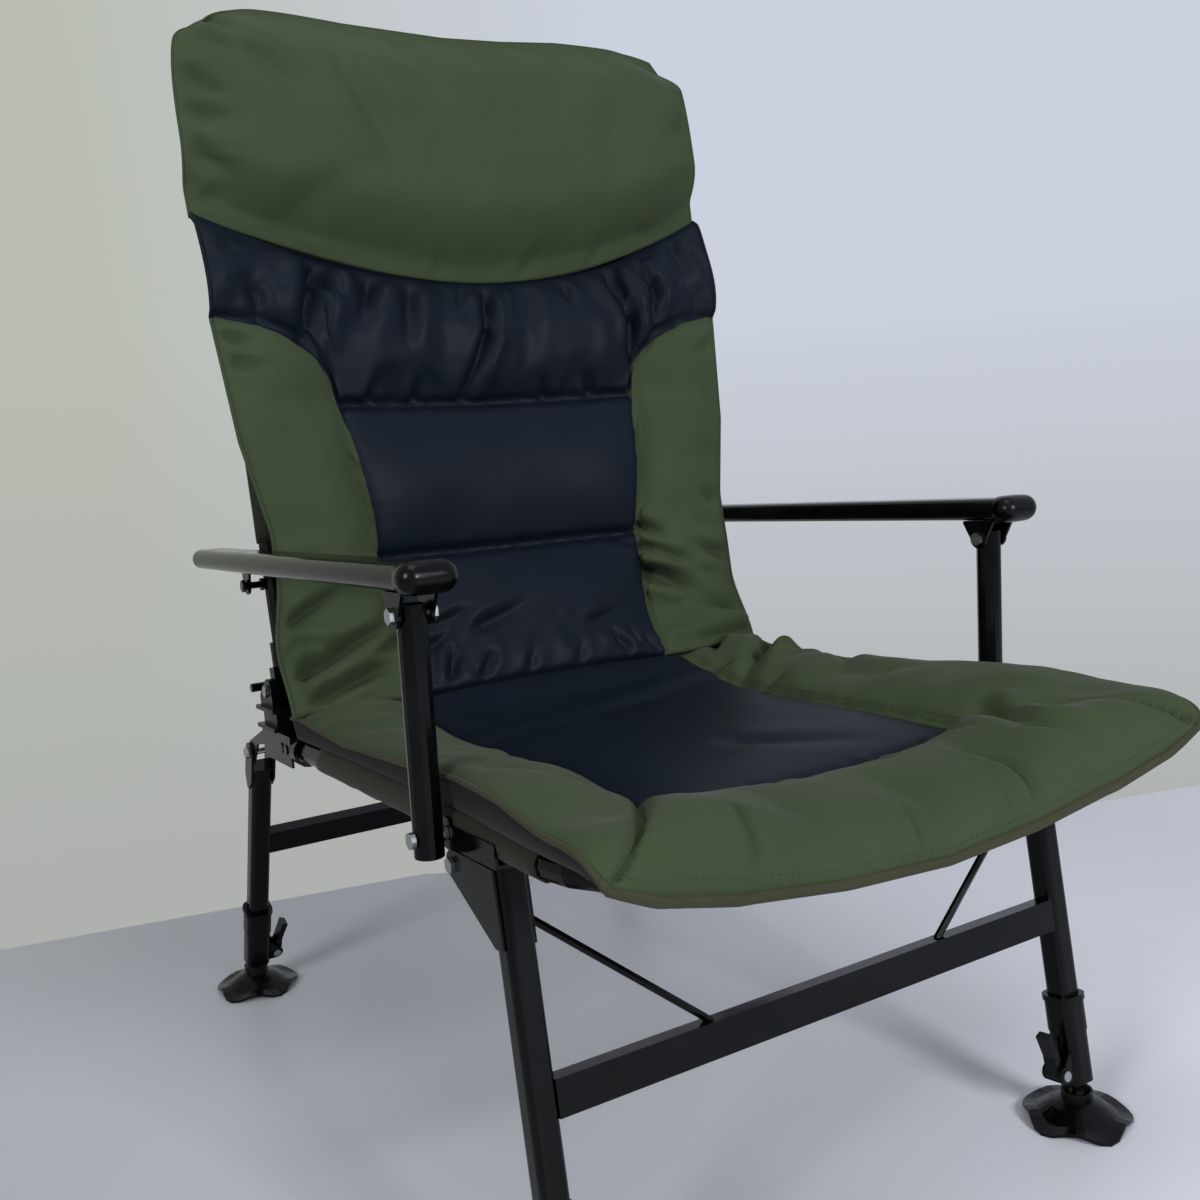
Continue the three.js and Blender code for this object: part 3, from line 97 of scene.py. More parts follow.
def addNode(tree, kind, links=None, **settings):  # links: input name -> socket; settings: input or property
    node = tree.nodes.new(kind)
    for key, value in settings.items():
        if hasattr(node, key):
            setattr(node, key, value)
        else:
            node.inputs[key.replace("_", " ")].default_value = value
    for key, socket in (links or {}).items():
        tree.links.new(socket, node.inputs[key])
    return node


def newFinish(name, **sockets):
    finish = bpy.data.materials.new(name)
    finish.use_nodes = True
    tree = finish.node_tree
    shader = tree.nodes["Principled BSDF"]
    for key, value in sockets.items():
        shader.inputs[key.replace("_", " ")].default_value = value
    return finish, tree, shader, addNode(tree, "ShaderNodeTexCoord").outputs["Object"]


def mixColours(tree, share, one, two):
    mix = tree.nodes.new("ShaderNodeMix")
    mix.data_type = "RGBA"
    tree.links.new(share, mix.inputs[0])
    for socket, value in ((mix.inputs[6], one), (mix.inputs[7], two)):
        if isinstance(value, tuple):
            socket.default_value = value
        else:
            tree.links.new(value, socket)
    return mix.outputs[2]


def ramp(tree, value, low, high, toLow=0.0, toHigh=1.0):
    return addNode(tree, "ShaderNodeMapRange", {"Value": value}, **{
        "From_Min": low, "From_Max": high, "To_Min": toLow, "To_Max": toHigh}).outputs[0]


# Powder-coated steel: deep black with fine orange peel, under a thin film of dust in drifts about 26 mm wide
def powderCoat(name, colour, dusty, roughness, peelMm):
    finish, tree, shader, at = newFinish(name, Roughness=roughness, Metallic=0.0, IOR=1.25)
    dust = addNode(tree, "ShaderNodeTexNoise", {"Vector": at}, Scale=38.0, Detail=5.0).outputs[0]
    skin = addNode(tree, "ShaderNodeTexNoise", {"Vector": at}, Scale=1000 / peelMm, Detail=3.0).outputs[0]
    tone = mixColours(tree, ramp(tree, dust, 0.35, 0.75), linear(colour), linear(dusty))
    tree.links.new(tone, shader.inputs["Base Color"])
    tree.links.new(ramp(tree, dust, 0.3, 0.8, roughness - 0.05, roughness + 0.08), shader.inputs["Roughness"])
    bump = addNode(tree, "ShaderNodeBump", {"Height": skin}, Strength=0.08, Distance=0.0003)
    tree.links.new(bump.outputs[0], shader.inputs["Normal"])
    return finish


# Bright zinc plate on steel: cool metal with faint blotches, about 4 mm wide, from the plating bath
def zincPlate():
    finish, tree, shader, at = newFinish("brightZincPlate", Metallic=1.0, Roughness=0.3)
    blotch = addNode(tree, "ShaderNodeTexNoise", {"Vector": at}, Scale=260.0, Detail=3.0).outputs[0]
    tone = mixColours(tree, blotch, linear("#b9bcc0"), linear("#8f9296"))
    tree.links.new(tone, shader.inputs["Base Color"])
    tree.links.new(ramp(tree, blotch, 0.3, 0.7, 0.22, 0.42), shader.inputs["Roughness"])
    return finish


# Woven cloth: two crossing threads over the cloth's own length and width, under a fuzz of fibre, mottled by
# dye in patches about 110 mm wide, with painted shade in the hollows between the threads. Real threads are
# too fine to show, so these are drawn 1.2 to 3 mm apart
def wovenCloth(name, colour, shade, threadMm, roughness, sheen, twill=False, depth=0.35, gloss=0.4):
    finish, tree, shader, at = newFinish(name, Roughness=roughness, IOR=1.4, Specular_IOR_Level=gloss / 2,
                                         Sheen_Weight=sheen, Sheen_Roughness=0.5)
    flat = addNode(tree, "ShaderNodeTexCoord").outputs["UV"]
    slant = (0, 0, radians(38 if twill else 0))
    turned = addNode(tree, "ShaderNodeMapping", {"Vector": flat}, Rotation=slant).outputs[0]
    bands = 1000 / threadMm / 6.283 * 2
    warp, weft = [addNode(tree, "ShaderNodeTexWave", {"Vector": turned}, bands_direction=way, Scale=bands,
                          Distortion=0.6, Detail=1.0, Detail_Scale=2.0).outputs[1] for way in "XY"]
    crossing = "ADD" if twill else "MAXIMUM"
    weave = addNode(tree, "ShaderNodeMath", {0: warp, 1: weft}, operation=crossing).outputs[0]
    broad = addNode(tree, "ShaderNodeTexNoise", {"Vector": at}, Scale=9.0, Detail=6.0).outputs[0]
    fuzz = addNode(tree, "ShaderNodeTexNoise", {"Vector": at}, Scale=420.0, Detail=2.0).outputs[0]
    tone = mixColours(tree, ramp(tree, broad, 0.3, 0.75, 0.0, 0.5), linear(colour), linear(shade))
    # painted shade: the weave's hollows are darkened towards near black, where shade falls between the
    # threads
    hollowShade = ramp(tree, weave, 0.0, 1.2, 0.3, 0.0)
    tree.links.new(mixColours(tree, hollowShade, tone, linear("#0b0d0c")), shader.inputs["Base Color"])
    high = addNode(tree, "ShaderNodeMath", {0: weave, 1: fuzz}, operation="ADD").outputs[0]
    bump = addNode(tree, "ShaderNodeBump", {"Height": high}, Strength=depth, Distance=0.0005)
    tree.links.new(bump.outputs[0], shader.inputs["Normal"])
    return finish


# Moulded nylon: dark, with a soft hazy shine and a spark grain. A real grain is too fine to show, so this one
# is drawn about 1 mm wide
def mouldedPlastic(name, colour, roughness):
    finish, tree, shader, at = newFinish(name, Roughness=roughness, IOR=1.24)
    grit = addNode(tree, "ShaderNodeTexVoronoi", {"Vector": at}, Scale=900.0).outputs[0]
    haze = addNode(tree, "ShaderNodeTexNoise", {"Vector": at}, Scale=30.0, Detail=5.0).outputs[0]
    tone = mixColours(tree, ramp(tree, haze, 0.4, 0.8), linear(colour), linear("#0a0c0d"))
    tree.links.new(tone, shader.inputs["Base Color"])
    tree.links.new(ramp(tree, haze, 0.3, 0.8, roughness - 0.05, roughness + 0.15), shader.inputs["Roughness"])
    bump = addNode(tree, "ShaderNodeBump", {"Height": grit}, Strength=0.15, Distance=0.0003)
    tree.links.new(bump.outputs[0], shader.inputs["Normal"])
    return finish


finishes = {
    "black_paint": powderCoat("blackPowderCoat", "#030405", "#090b0d", 0.16, 1.4),
    "black_cast": powderCoat("blackPaintedCasting", "#040505", "#0c0e10", 0.32, 1.8),
    "black_plastic": mouldedPlastic("blackMouldedNylon", "#030405", 0.2),
    "bright_zinc": zincPlate(),
}
oxford = wovenCloth("greenOxfordCloth", "#3d4a32", "#33402a", 2.3, 0.8, 0.04, depth=0.2)
satin = wovenCloth("navySatinTwill", "#111923", "#0c131b", 2.2, 0.48, 0.0, twill=True, depth=0.12, gloss=0.24)
sleeveCloth = wovenCloth("oliveCoatedOxford", "#2a2b20", "#22231b", 3.0, 0.7, 0.08, depth=0.3)
underCloth = wovenCloth("blackLiningCloth", "#121514", "#0c0e0e", 2.6, 0.8, 0.05, depth=0.25)
hemTape = wovenCloth("oliveHemTape", "#3e3f2d", "#323324", 2.0, 0.8, 0.05, depth=0.25)
thread = wovenCloth("greenStitchingThread", "#2f3b28", "#27321f", 1.2, 0.6, 0.1, depth=0.2)
navyThread = wovenCloth("navyStitchingThread", "#2c3240", "#232835", 1.2, 0.5, 0.1, depth=0.2)
print("finishes made")


def linked(name, data):  # a new object in the scene
    thing = bpy.data.objects.new(name, data)
    bpy.context.scene.collection.objects.link(thing)
    return thing


def newPiece(name, verts, faces, cloths):
    mesh = bpy.data.meshes.new(name)
    mesh.from_pydata([tuple(v) for v in verts], [], faces)
    for cloth in cloths:
        mesh.materials.append(cloth)
    mesh.polygons.foreach_set("use_smooth", [True] * len(faces))
    return linked(name, mesh), mesh


def layCloth(mesh, cut):  # lays the weave along the cloth as it was cut, in metres
    corners = np.array([loop.vertex_index for loop in mesh.loops])
    mesh.uv_layers.new(name="cloth").data.foreach_set("uv", cut[corners].ravel())


# Cushions: closed forms on a grid whose lines run along the sewn seams, all drawn in mm

def blend01(t):
    t = np.clip(t, 0, 1)
    return t * t * (3 - 2 * t)


def pillow(share, power=0.5):  # the round of stuffing between two seams
    return np.clip(4 * share * (1 - share), 0, 1) ** power


def gridSteps(rows, cols, finer):
    return np.linspace(0, rows, rows * finer + 1)[:, None], np.linspace(0, cols, cols * finer + 1)[None, :]


def noiseField(shape, cells, seed):  # smooth random values over a grid, always the same ones
    source = np.random.default_rng(seed).normal(size=(cells[0] + 3, cells[1] + 3))
    v = np.linspace(0, cells[0], shape[0])
    u = np.linspace(0, cells[1], shape[1])
    j, i = v.astype(int), u.astype(int)
    fv, fu = blend01(v - j)[:, None], blend01(u - i)[None, :]
    a, b = source[j][:, i], source[j][:, i + 1]
    c, d = source[j + 1][:, i], source[j + 1][:, i + 1]
    return (a * (1 - fu) + b * fu) * (1 - fv) + (c * (1 - fu) + d * fu) * fv


def foldField(u, v, folds, strength):  # valleys with a lip on one side, deepest where they leave a seam
    height = np.zeros_like(u)
    for u0, v0, u1, v1, width, depth in folds:
        du, dv = u1 - u0, v1 - v0
        length = np.hypot(du, dv)
        along = ((u - u0) * du + (v - v0) * dv) / length
        aside = ((v - v0) * du - (u - u0) * dv) / length
        over = np.maximum(-along, along - length)
        fade = np.where(over > 0, np.exp(-(over / width) ** 2), 1)
        fade = fade * (1 - 0.75 * np.clip(along / length, 0, 1) ** 2)
        valley = 1.2 * np.exp(-(np.abs(aside) / (0.8 * width)) ** 1.6)
        lips = 0.55 * np.exp(-((aside - 1.7 * width) / (1.2 * width)) ** 2)
        lips = lips + 0.3 * np.exp(-((aside + 1.7 * width) / (1.1 * width)) ** 2)
        height += strength * depth * fade * (lips - valley)
    return height


def finer(grid):  # twice the lines each way, on a smooth curve through the old ones
    for axis in (0, 1):
        old = np.moveaxis(grid, axis, 0)
        wide = np.concatenate([[2 * old[0] - old[1]], old, [2 * old[-1] - old[-2]]])
        new = np.empty((2 * len(old) - 1,) + old.shape[1:])
        new[::2] = old
        new[1::2] = (9 * (wide[1:-2] + wide[2:-1]) - wide[:-3] - wide[3:]) / 16
        grid = np.moveaxis(new, 0, axis)
    return grid


def outward(front, rear):  # unit normals of the front, away from the stuffing
    normal = np.cross(np.gradient(front, axis=1), np.gradient(front, axis=0))
    normal *= np.sign((normal * (front - rear)).sum())
    return normal / np.maximum(np.linalg.norm(normal, axis=-1, keepdims=True), 1e-9)


def clothLength(grid):  # where each point lies on the cloth when it is cut: across, and along the grain
    steps = np.linalg.norm(np.diff(grid, axis=0), axis=-1)
    along = np.concatenate([np.zeros((1, grid.shape[1])), np.cumsum(steps, axis=0)])
    return np.stack([grid[..., 0], along], -1) / 1000


def ringOf(grid):  # the points round the edge of a grid
    return np.concatenate([grid[0], grid[1:, -1], grid[-1, -2::-1], grid[-2:0:-1, 0]])


def padMesh(name, front, rear, place, cloths, slots, extras=(), wallRows=2):
    rows, cols = front.shape[:2]
    count = rows * cols
    numbers = np.arange(count).reshape(rows, cols)
    corners = numbers[:-1, :-1], numbers[:-1, 1:], numbers[1:, 1:], numbers[1:, :-1]
    quads = np.stack(corners, -1).reshape(-1, 4)
    edge, edgeRear = ringOf(front), ringOf(rear)
    walls = [edge + (edgeRear - edge) * step / wallRows for step in range(1, wallRows)]
    verts = np.concatenate([front.reshape(-1, 3), rear.reshape(-1, 3)] + walls)
    faces = [quads, quads[:, ::-1] + count]
    under = min(2, len(cloths) - 1)  # the black lining behind and on the walls; on the walls it is painted shade, standing for the cover's sides in shade
    kinds = [slots.ravel(), np.full(len(quads), under)]
    ring = ringOf(numbers)
    between = [2 * count + w * len(ring) + np.arange(len(ring)) for w in range(wallRows - 1)]
    bands = [ring] + between + [ring + count]
    for upper, lower in zip(bands, bands[1:]):
        faces.append(np.stack([np.roll(upper, -1), upper, lower, np.roll(lower, -1)], -1))
        kinds.append(np.full(len(ring), under))
    wide = clothLength(front)
    cut = np.concatenate([wide.reshape(-1, 2)] * 2 + [ringOf(wide)] * (wallRows - 1))
    for points, patch, slot in extras:
        faces.append([[v + len(verts) for v in face] for face in patch])
        verts = np.concatenate([verts, points])
        cut = np.concatenate([cut, points[:, :2] / 1000])
        kinds.append(np.full(len(patch), slot))
    faces = [tuple(int(v) for v in face) for part in faces for face in part]
    pad, mesh = newPiece(name, place(verts), faces, cloths)
    mesh.polygons.foreach_set("material_index", np.concatenate(kinds).astype(int))
    layCloth(mesh, cut)
    form = bmesh.new()
    form.from_mesh(mesh)
    bmesh.ops.recalc_face_normals(form, faces=form.faces)
    form.to_mesh(mesh)
    form.free()
    mesh.update()
    return pad


stuffing = {"quality": 6, "mass": 0.25, "tension_stiffness": 12, "compression_stiffness": 12,
            "shear_stiffness": 6, "bending_stiffness": 0.35, "use_pressure": True}
stuffingRun = {"frames": 20, "smoothings": 24}


# Swells the cover by cloth simulation, held at its seams
def stuffed(front, rear, free, pressure, grow, cap, taut):
    count = free.size
    allGreen = np.zeros((free.shape[0] - 1, free.shape[1] - 1))
    pad = padMesh("coverBeingStuffed", front, rear, lambda p: p / 1000, [oxford], allGreen)
    held = pad.vertex_groups.new(name="seams")
    for v in range(len(pad.data.vertices)):
        held.add([v], float(1 - free.flat[v]) if v < count else 1.0, "REPLACE")
    cloth = pad.modifiers.new("cover", "CLOTH")
    for key, value in stuffing.items():
        setattr(cloth.settings, key, value)
    cloth.settings.vertex_group_mass = "seams"
    cloth.settings.shrink_min = -grow
    cloth.settings.uniform_pressure_force = pressure
    cloth.settings.effector_weights.gravity = 0
    cloth.collision_settings.use_collision = False
    for step in range(1, stuffingRun["frames"] + 1):
        bpy.context.scene.frame_set(step)
    evaluated = pad.evaluated_get(bpy.context.evaluated_depsgraph_get())
    blown = np.array([v.co for v in evaluated.data.vertices])[:count].reshape(front.shape) * 1000
    moved = blown - front
    moved *= np.minimum(1, cap / np.maximum(np.linalg.norm(moved, axis=-1, keepdims=True), 1e-9))
    mesh = pad.data
    bpy.data.objects.remove(pad)
    bpy.data.meshes.remove(mesh)
    bpy.context.scene.frame_set(1)
    for step in range(stuffingRun["smoothings"]):  # taut cloth keeps the swelling but not its small wrinkles
        wide = np.pad(moved, ((1, 1), (1, 1), (0, 0)), "edge")
        around = (wide[:-2, 1:-1] + wide[2:, 1:-1] + wide[1:-1, :-2] + wide[1:-1, 2:]) / 4
        moved = moved + (around - moved) * (taut * (free > 0))[..., None]
    return front + moved


def cordAlong(points, radius, upward, slot, sides=8):  # a closed round cord sewn along a line of points
    ahead = np.gradient(points, axis=0)
    ahead /= np.linalg.norm(ahead, axis=1, keepdims=True)
    aside = np.cross(ahead, upward)
    aside /= np.linalg.norm(aside, axis=1, keepdims=True)
    over = np.cross(aside, ahead)
    turn = np.linspace(0, 2 * pi, sides, endpoint=False)[None, :, None]
    radius = np.broadcast_to(radius, len(points))[:, None, None]
    rings = points[:, None] + radius * (aside[:, None] * np.cos(turn) + over[:, None] * np.sin(turn))
    end = len(points) * sides
    faces = []
    for s in range(sides):
        n = (s + 1) % sides
        faces += [(k + s, k + n, k + sides + n, k + sides + s) for k in range(0, end - sides, sides)]
        faces += [(end, n, s), (end + 1, end - sides + s, end - sides + n)]
    return np.concatenate([rings.reshape(-1, 3), points[:1], points[-1:]]), faces, slot


# A row of topstitching: short beads of thread, half sunk in the cloth
def stitchRow(points, normals, slot, pitch=6.5, long=4.4, wide=0.9):
    gone = np.concatenate([[0], np.cumsum(np.linalg.norm(np.diff(points, axis=0), axis=1))])
    at = np.arange(pitch, gone[-1] - pitch / 2, pitch)
    sample = lambda values, where: np.stack([np.interp(where, gone, values[:, k]) for k in range(3)], -1)
    middle, normal = sample(points, at), sample(normals, at)
    ahead = sample(points, at + 0.5) - sample(points, at - 0.5)
    ahead /= np.linalg.norm(ahead, axis=1, keepdims=True)
    aside = np.cross(ahead, normal)
    verts, faces = [], []
    for c, a, n, s in zip(middle, ahead, normal, aside):
        first = len(verts)
        verts.append(c - a * long / 2 - n * wide * 0.4)
        for shift in (-0.28, 0.28):
            for t in (0, pi / 2, pi, 1.5 * pi):
                verts.append(c + a * long * shift + (s * cos(t) + n * sin(t)) * wide / 2)
        verts.append(c + a * long / 2 - n * wide * 0.4)
        for k in range(4):
            m = (k + 1) % 4
            faces += [(first, first + 1 + m, first + 1 + k), (first + 9, first + 5 + k, first + 5 + m),
                      (first + 1 + k, first + 1 + m, first + 5 + m, first + 5 + k)]
    return np.array(verts), faces, slot


# Seat cushion, along the tilted seat: a navy panel in a stuffed green border that rolls over the front bow
seatPad = {
    "rear": -74, "panelFront": -500, "panelBulge": 12, "front": -634, "cornerForward": 7,
    "panelHalf": 165, "half": 275, "cornerHalf": 283, "flareFrom": 420, "flareOver": 180, "waist": 4,
    "cornerRound": 9,
    "edgeY": (-640, -596, -530, -439, -353, -210, -140, -96, -66),
    "edgeZ": (-20, -16, -14, -14, -20, -25, -20, -16, -18),
    "seamY": (-512, -400, -300, -200, -150, -104, -66), "seamZ": (-49, -47, -46, -42, -32, -17, -18),
    "middleDrop": 10, "hemX": (0, 90, 180, 240, 282), "hemZ": (-92, -87, -75, -60, -42),
    "crestX": (0, 102, 204, 282), "crestZ": (-73, -64, -37, -24),
    "borderPuff": 12, "frontPuff": 17, "panelPuff": 6, "puffFrom": 75, "puffOver": 50,
    "slingEdgeZ": -41.4, "slingSag": 36, "slingHalf": 204, "aboveSling": 1.9,
    "crossTubeY": -126, "crossTubeTop": -43.5, "crossTubeOver": 16, "bowY": -612, "bowOver": 22,
    "hemThickness": 2.5, "leastWall": 1.2, "dropFrom": 90, "dropOver": 70, "borderFrom": 95, "borderOver": 40,
    "pressure": 3.0, "grow": 0.03, "cap": 7, "tautPanel": 0.8, "tautBorder": 0.12,
    "border": 16, "panel": 46, "rows": 52,
    "sideCord": 2.2, "hemCord": 4.2, "cordSteps": 6, "seamWidth": 4.0, "seamDepth": 4.2, "mitreStep": 4.5,
    "mitreReach": 12, "mitreGroove": 2.5, "mitreGrooveReach": 3,
    "pucker": 0.9, "puckerReach": 11, "uneven": 0.9,
    "sagLineY": -190, "sagLineSlant": 38, "ridge": 2.4, "ridgeReach": 16,
    "valley": 1.6, "valleyReach": 13, "valleyBehind": 22, "foldStrength": 2.0,
    "spans": {"mitre": 85, "panelFront": 430, "front": 120, "side": 110},
    "folds": (
        (262, -140, 172, -205, 11, 9), (230, -85, 190, -125, 9, 7), (268, -200, 200, -160, 9, 4.5),
        (180, -512, 150, -585, 11, 5.5), (150, -585, 172, -628, 9, 4), (95, -628, 92, -560, 6, 3),
        (-158, -628, -150, -590, 6, 2.6), (-20, -630, -15, -605, 5, 2), (70, -630, 68, -612, 5, 1.6),
        (10, -400, 80, -470, 18, 1.6), (-270, -92, -200, -100, 7, 2.6), (-268, -120, -196, -130, 8, 2.4),
        (-266, -152, -205, -160, 8, 1.8), (-240, -440, -200, -500, 16, 2), (215, -330, 250, -420, 20, 1.8),
        (262, -262, 214, -300, 12, 2.4), (168, -150, 196, -176, 7, 2.2), (168, -240, 190, -250, 6, 1.6),
        (-168, -300, -190, -310, 6, 1.4), (-60, -508, -66, -540, 6, 1.6), (40, -510, 46, -538, 6, 1.6),
        (120, -506, 132, -540, 6, 2),
    ),
}


def seatSheetZ(x):  # the sling that the cushion lies on
    d = seatPad
    return d["slingEdgeZ"] - d["slingSag"] * (1 - np.minimum(np.abs(x) / d["slingHalf"], 1) ** 2)


def seatShares(detail):
    nb, npan, nr = (seatPad[k] for k in ("border", "panel", "rows"))
    j, i = gridSteps(nr + nb, 2 * nb + npan, detail)
    i, j = i + 0 * j, j + 0 * i
    out = np.clip(np.maximum(nb - i, i - nb - npan), 0, nb) / nb  # 0 in the panel, 1 at the side edge
    ahead = np.clip(j - nr, 0, nb) / nb  # 0 over the panel, 1 at the front hem
    side, across = np.sign(i - nb - npan / 2), np.clip((i - nb) / npan, 0, 1) * 2 - 1
    return out, side, across, ahead, np.clip(j / nr, 0, 1)


def makeSeatPad():
    d = seatPad
    out, side, across, ahead, forward = seatShares(1)
    yPanel = d["rear"] + (d["panelFront"] - d["panelBulge"] * (1 - across ** 2) - d["rear"]) * forward
    front = d["front"] - d["cornerForward"] * out
    y = yPanel + (front - yPanel) * np.sin(pi / 2 * ahead)
    flare = blend01((-y - d["flareFrom"]) / d["flareOver"])
    half = d["half"] + (d["cornerHalf"] - d["half"]) * flare
    half = half - d["waist"] * np.sin(pi * forward) - d["cornerRound"] * ahead ** 8
    x = across * d["panelHalf"] + side * (half - d["panelHalf"]) * out
    crease = blend01((-y - d["puffFrom"]) / d["puffOver"])  # the puff fades out under the back cushion
    dropping = blend01((-y - d["dropFrom"]) / d["dropOver"])
    middle = np.interp(y, d["seamY"], d["seamZ"]) - d["middleDrop"] * (1 - across ** 2) * dropping
    z = middle + (np.interp(y, d["edgeY"], d["edgeZ"]) - middle) * out
    crest, hem = (np.interp(np.abs(x), d[k + "X"], d[k + "Z"]) for k in ("crest", "hem"))
    z = z + (crest - z) * blend01(2 * ahead)
    roll = np.clip(2 * ahead - 1, 0, 1) * pi / 2
    z = z - (crest - hem) * (1 - np.cos(roll))
    puff = np.where(ahead > out, d["frontPuff"], d["borderPuff"])
    puff = puff * np.where(out > 0, blend01((-y - d["borderFrom"]) / d["borderOver"]), crease)
    swell = pillow(np.maximum(ahead, out)) * puff
    panel = d["panelPuff"] * np.sqrt(1 - across ** 2) * (ahead + out == 0) * crease
    z = z + swell * np.cos(roll) + panel
    y = y - swell * np.sin(roll) / 2
    under = seatSheetZ(x) + d["aboveSling"]
    onCrossTube = blend01((y - d["crossTubeY"]) / d["crossTubeOver"])
    under = under + (np.maximum(under, d["crossTubeTop"]) - under) * onCrossTube
    under = under + (hem - under) * blend01((-y + d["bowY"]) / d["bowOver"])
    under = np.minimum(under, z - d["hemThickness"])
    top = np.stack([x, y, z], -1)
    rear = np.stack([x * (1 - 0.012 * (out == 1)), y * (1 - 0.003 * (ahead == 1)), under], -1)
    sideSeam = (out == 0) & (np.abs(across) == 1) & (ahead == 0)
    frontSeam = (forward == 1) & (ahead == 0) & (out == 0)
    mitreSeam = (ahead == out) & (ahead > 0)
    free = 1.0 - (sideSeam | frontSeam | mitreSeam | (out == 1) | (ahead == 1) | (forward == 0))
    taut = np.where(out + ahead == 0, d["tautPanel"], d["tautBorder"])
    top = finer(stuffed(top, rear, free, d["pressure"], d["grow"], d["cap"], taut))
    rear = finer(rear)
    out, side, across, ahead, forward = seatShares(2)
    span = d["spans"]
    mitre = np.abs(ahead - out) * span["mitre"] + 0.5  # rough distances to the nearest seam, in mm
    inPanel = np.minimum((1 - np.abs(across)) * d["panelHalf"], (1 - forward) * span["panelFront"])
    inFront = np.where(out > 0, mitre, ahead * span["front"])
    toSeam = np.where(ahead > 0, inFront, np.where(out > 0, out * span["side"], inPanel))
    atX, atY = top[..., 0], top[..., 1]
    still = blend01(np.minimum(1 - out, 1 - ahead) * 8) * blend01(forward * 9)  # sewn outer edges stay
    rise = foldField(atX, atY, d["folds"], d["foldStrength"])
    rise -= d["seamDepth"] * np.exp(-toSeam / d["seamWidth"])
    onBorder = ahead + out > 0
    rise += noiseField(atX.shape, (54, 50), 4) * d["pucker"] * np.exp(-toSeam / d["puckerReach"]) * onBorder
    rise += noiseField(atX.shape, (14, 12), 9) * d["uneven"] * onBorder
    sagLine = atY - d["sagLineY"] - d["sagLineSlant"] * across  # a soft ridge and valley across the panel
    rise += d["ridge"] * np.exp(-(sagLine / d["ridgeReach"]) ** 2) * ~onBorder
    rise -= d["valley"] * np.exp(-((sagLine + d["valleyBehind"]) / d["valleyReach"]) ** 2) * ~onBorder
    onMitre = (ahead > 0) * (out > 0)
    atMitre = np.exp(-mitre / d["mitreReach"]) * onMitre * blend01(2.4 * np.minimum(ahead, out))
    mitreGroove = d["mitreGroove"] * np.exp(-mitre / d["mitreGrooveReach"]) * onMitre
    rise += d["mitreStep"] * np.where(out > ahead, atMitre, -0.8 * atMitre) - mitreGroove
    lift = outward(top, rear)
    top = top + lift * (rise * still)[..., None]
    rear[..., 2] = np.minimum(rear[..., 2], top[..., 2] - d["leastWall"])
    edge = np.concatenate([top[:, 0], top[-1, 1:], top[-2::-1, -1]])
    along = np.concatenate([np.zeros(len(top)), np.ones(top.shape[1] - 1), np.zeros(len(top) - 1)])
    window = 2 * d["cordSteps"] + 1
    soften = np.convolve(np.pad(along, d["cordSteps"], "edge"), np.ones(window) / window, "valid")
    radius = d["sideCord"] + (d["hemCord"] - d["sideCord"]) * soften
    cord = cordAlong(edge - [0, 0, 1.0], radius, (0.0, 0.001, 1.0), 4)
    rows = []
    left, right, low = 2 * d["border"], 2 * (d["border"] + d["panel"]), 2 * d["rows"]
    for column in (left - 2, right + 2):  # topstitching on the green side of the seams
        rows.append(stitchRow(top[:low + 1, column], lift[:low + 1, column], 3))
    rows.append(stitchRow(top[low + 2, left:right + 1], lift[low + 2, left:right + 1], 3))
    rows.append(stitchRow(top[-4, 3:-3], lift[-4, 3:-3], 3, 5.5, 3.6))
    isPanel = ~onBorder[:-1, :-1] & ~onBorder[1:, 1:]
    cloths = [oxford, satin, underCloth, thread, hemTape]
    return padMesh("seatCushionCover", top, rear, onSeat, cloths, isPanel, [cord] + rows)


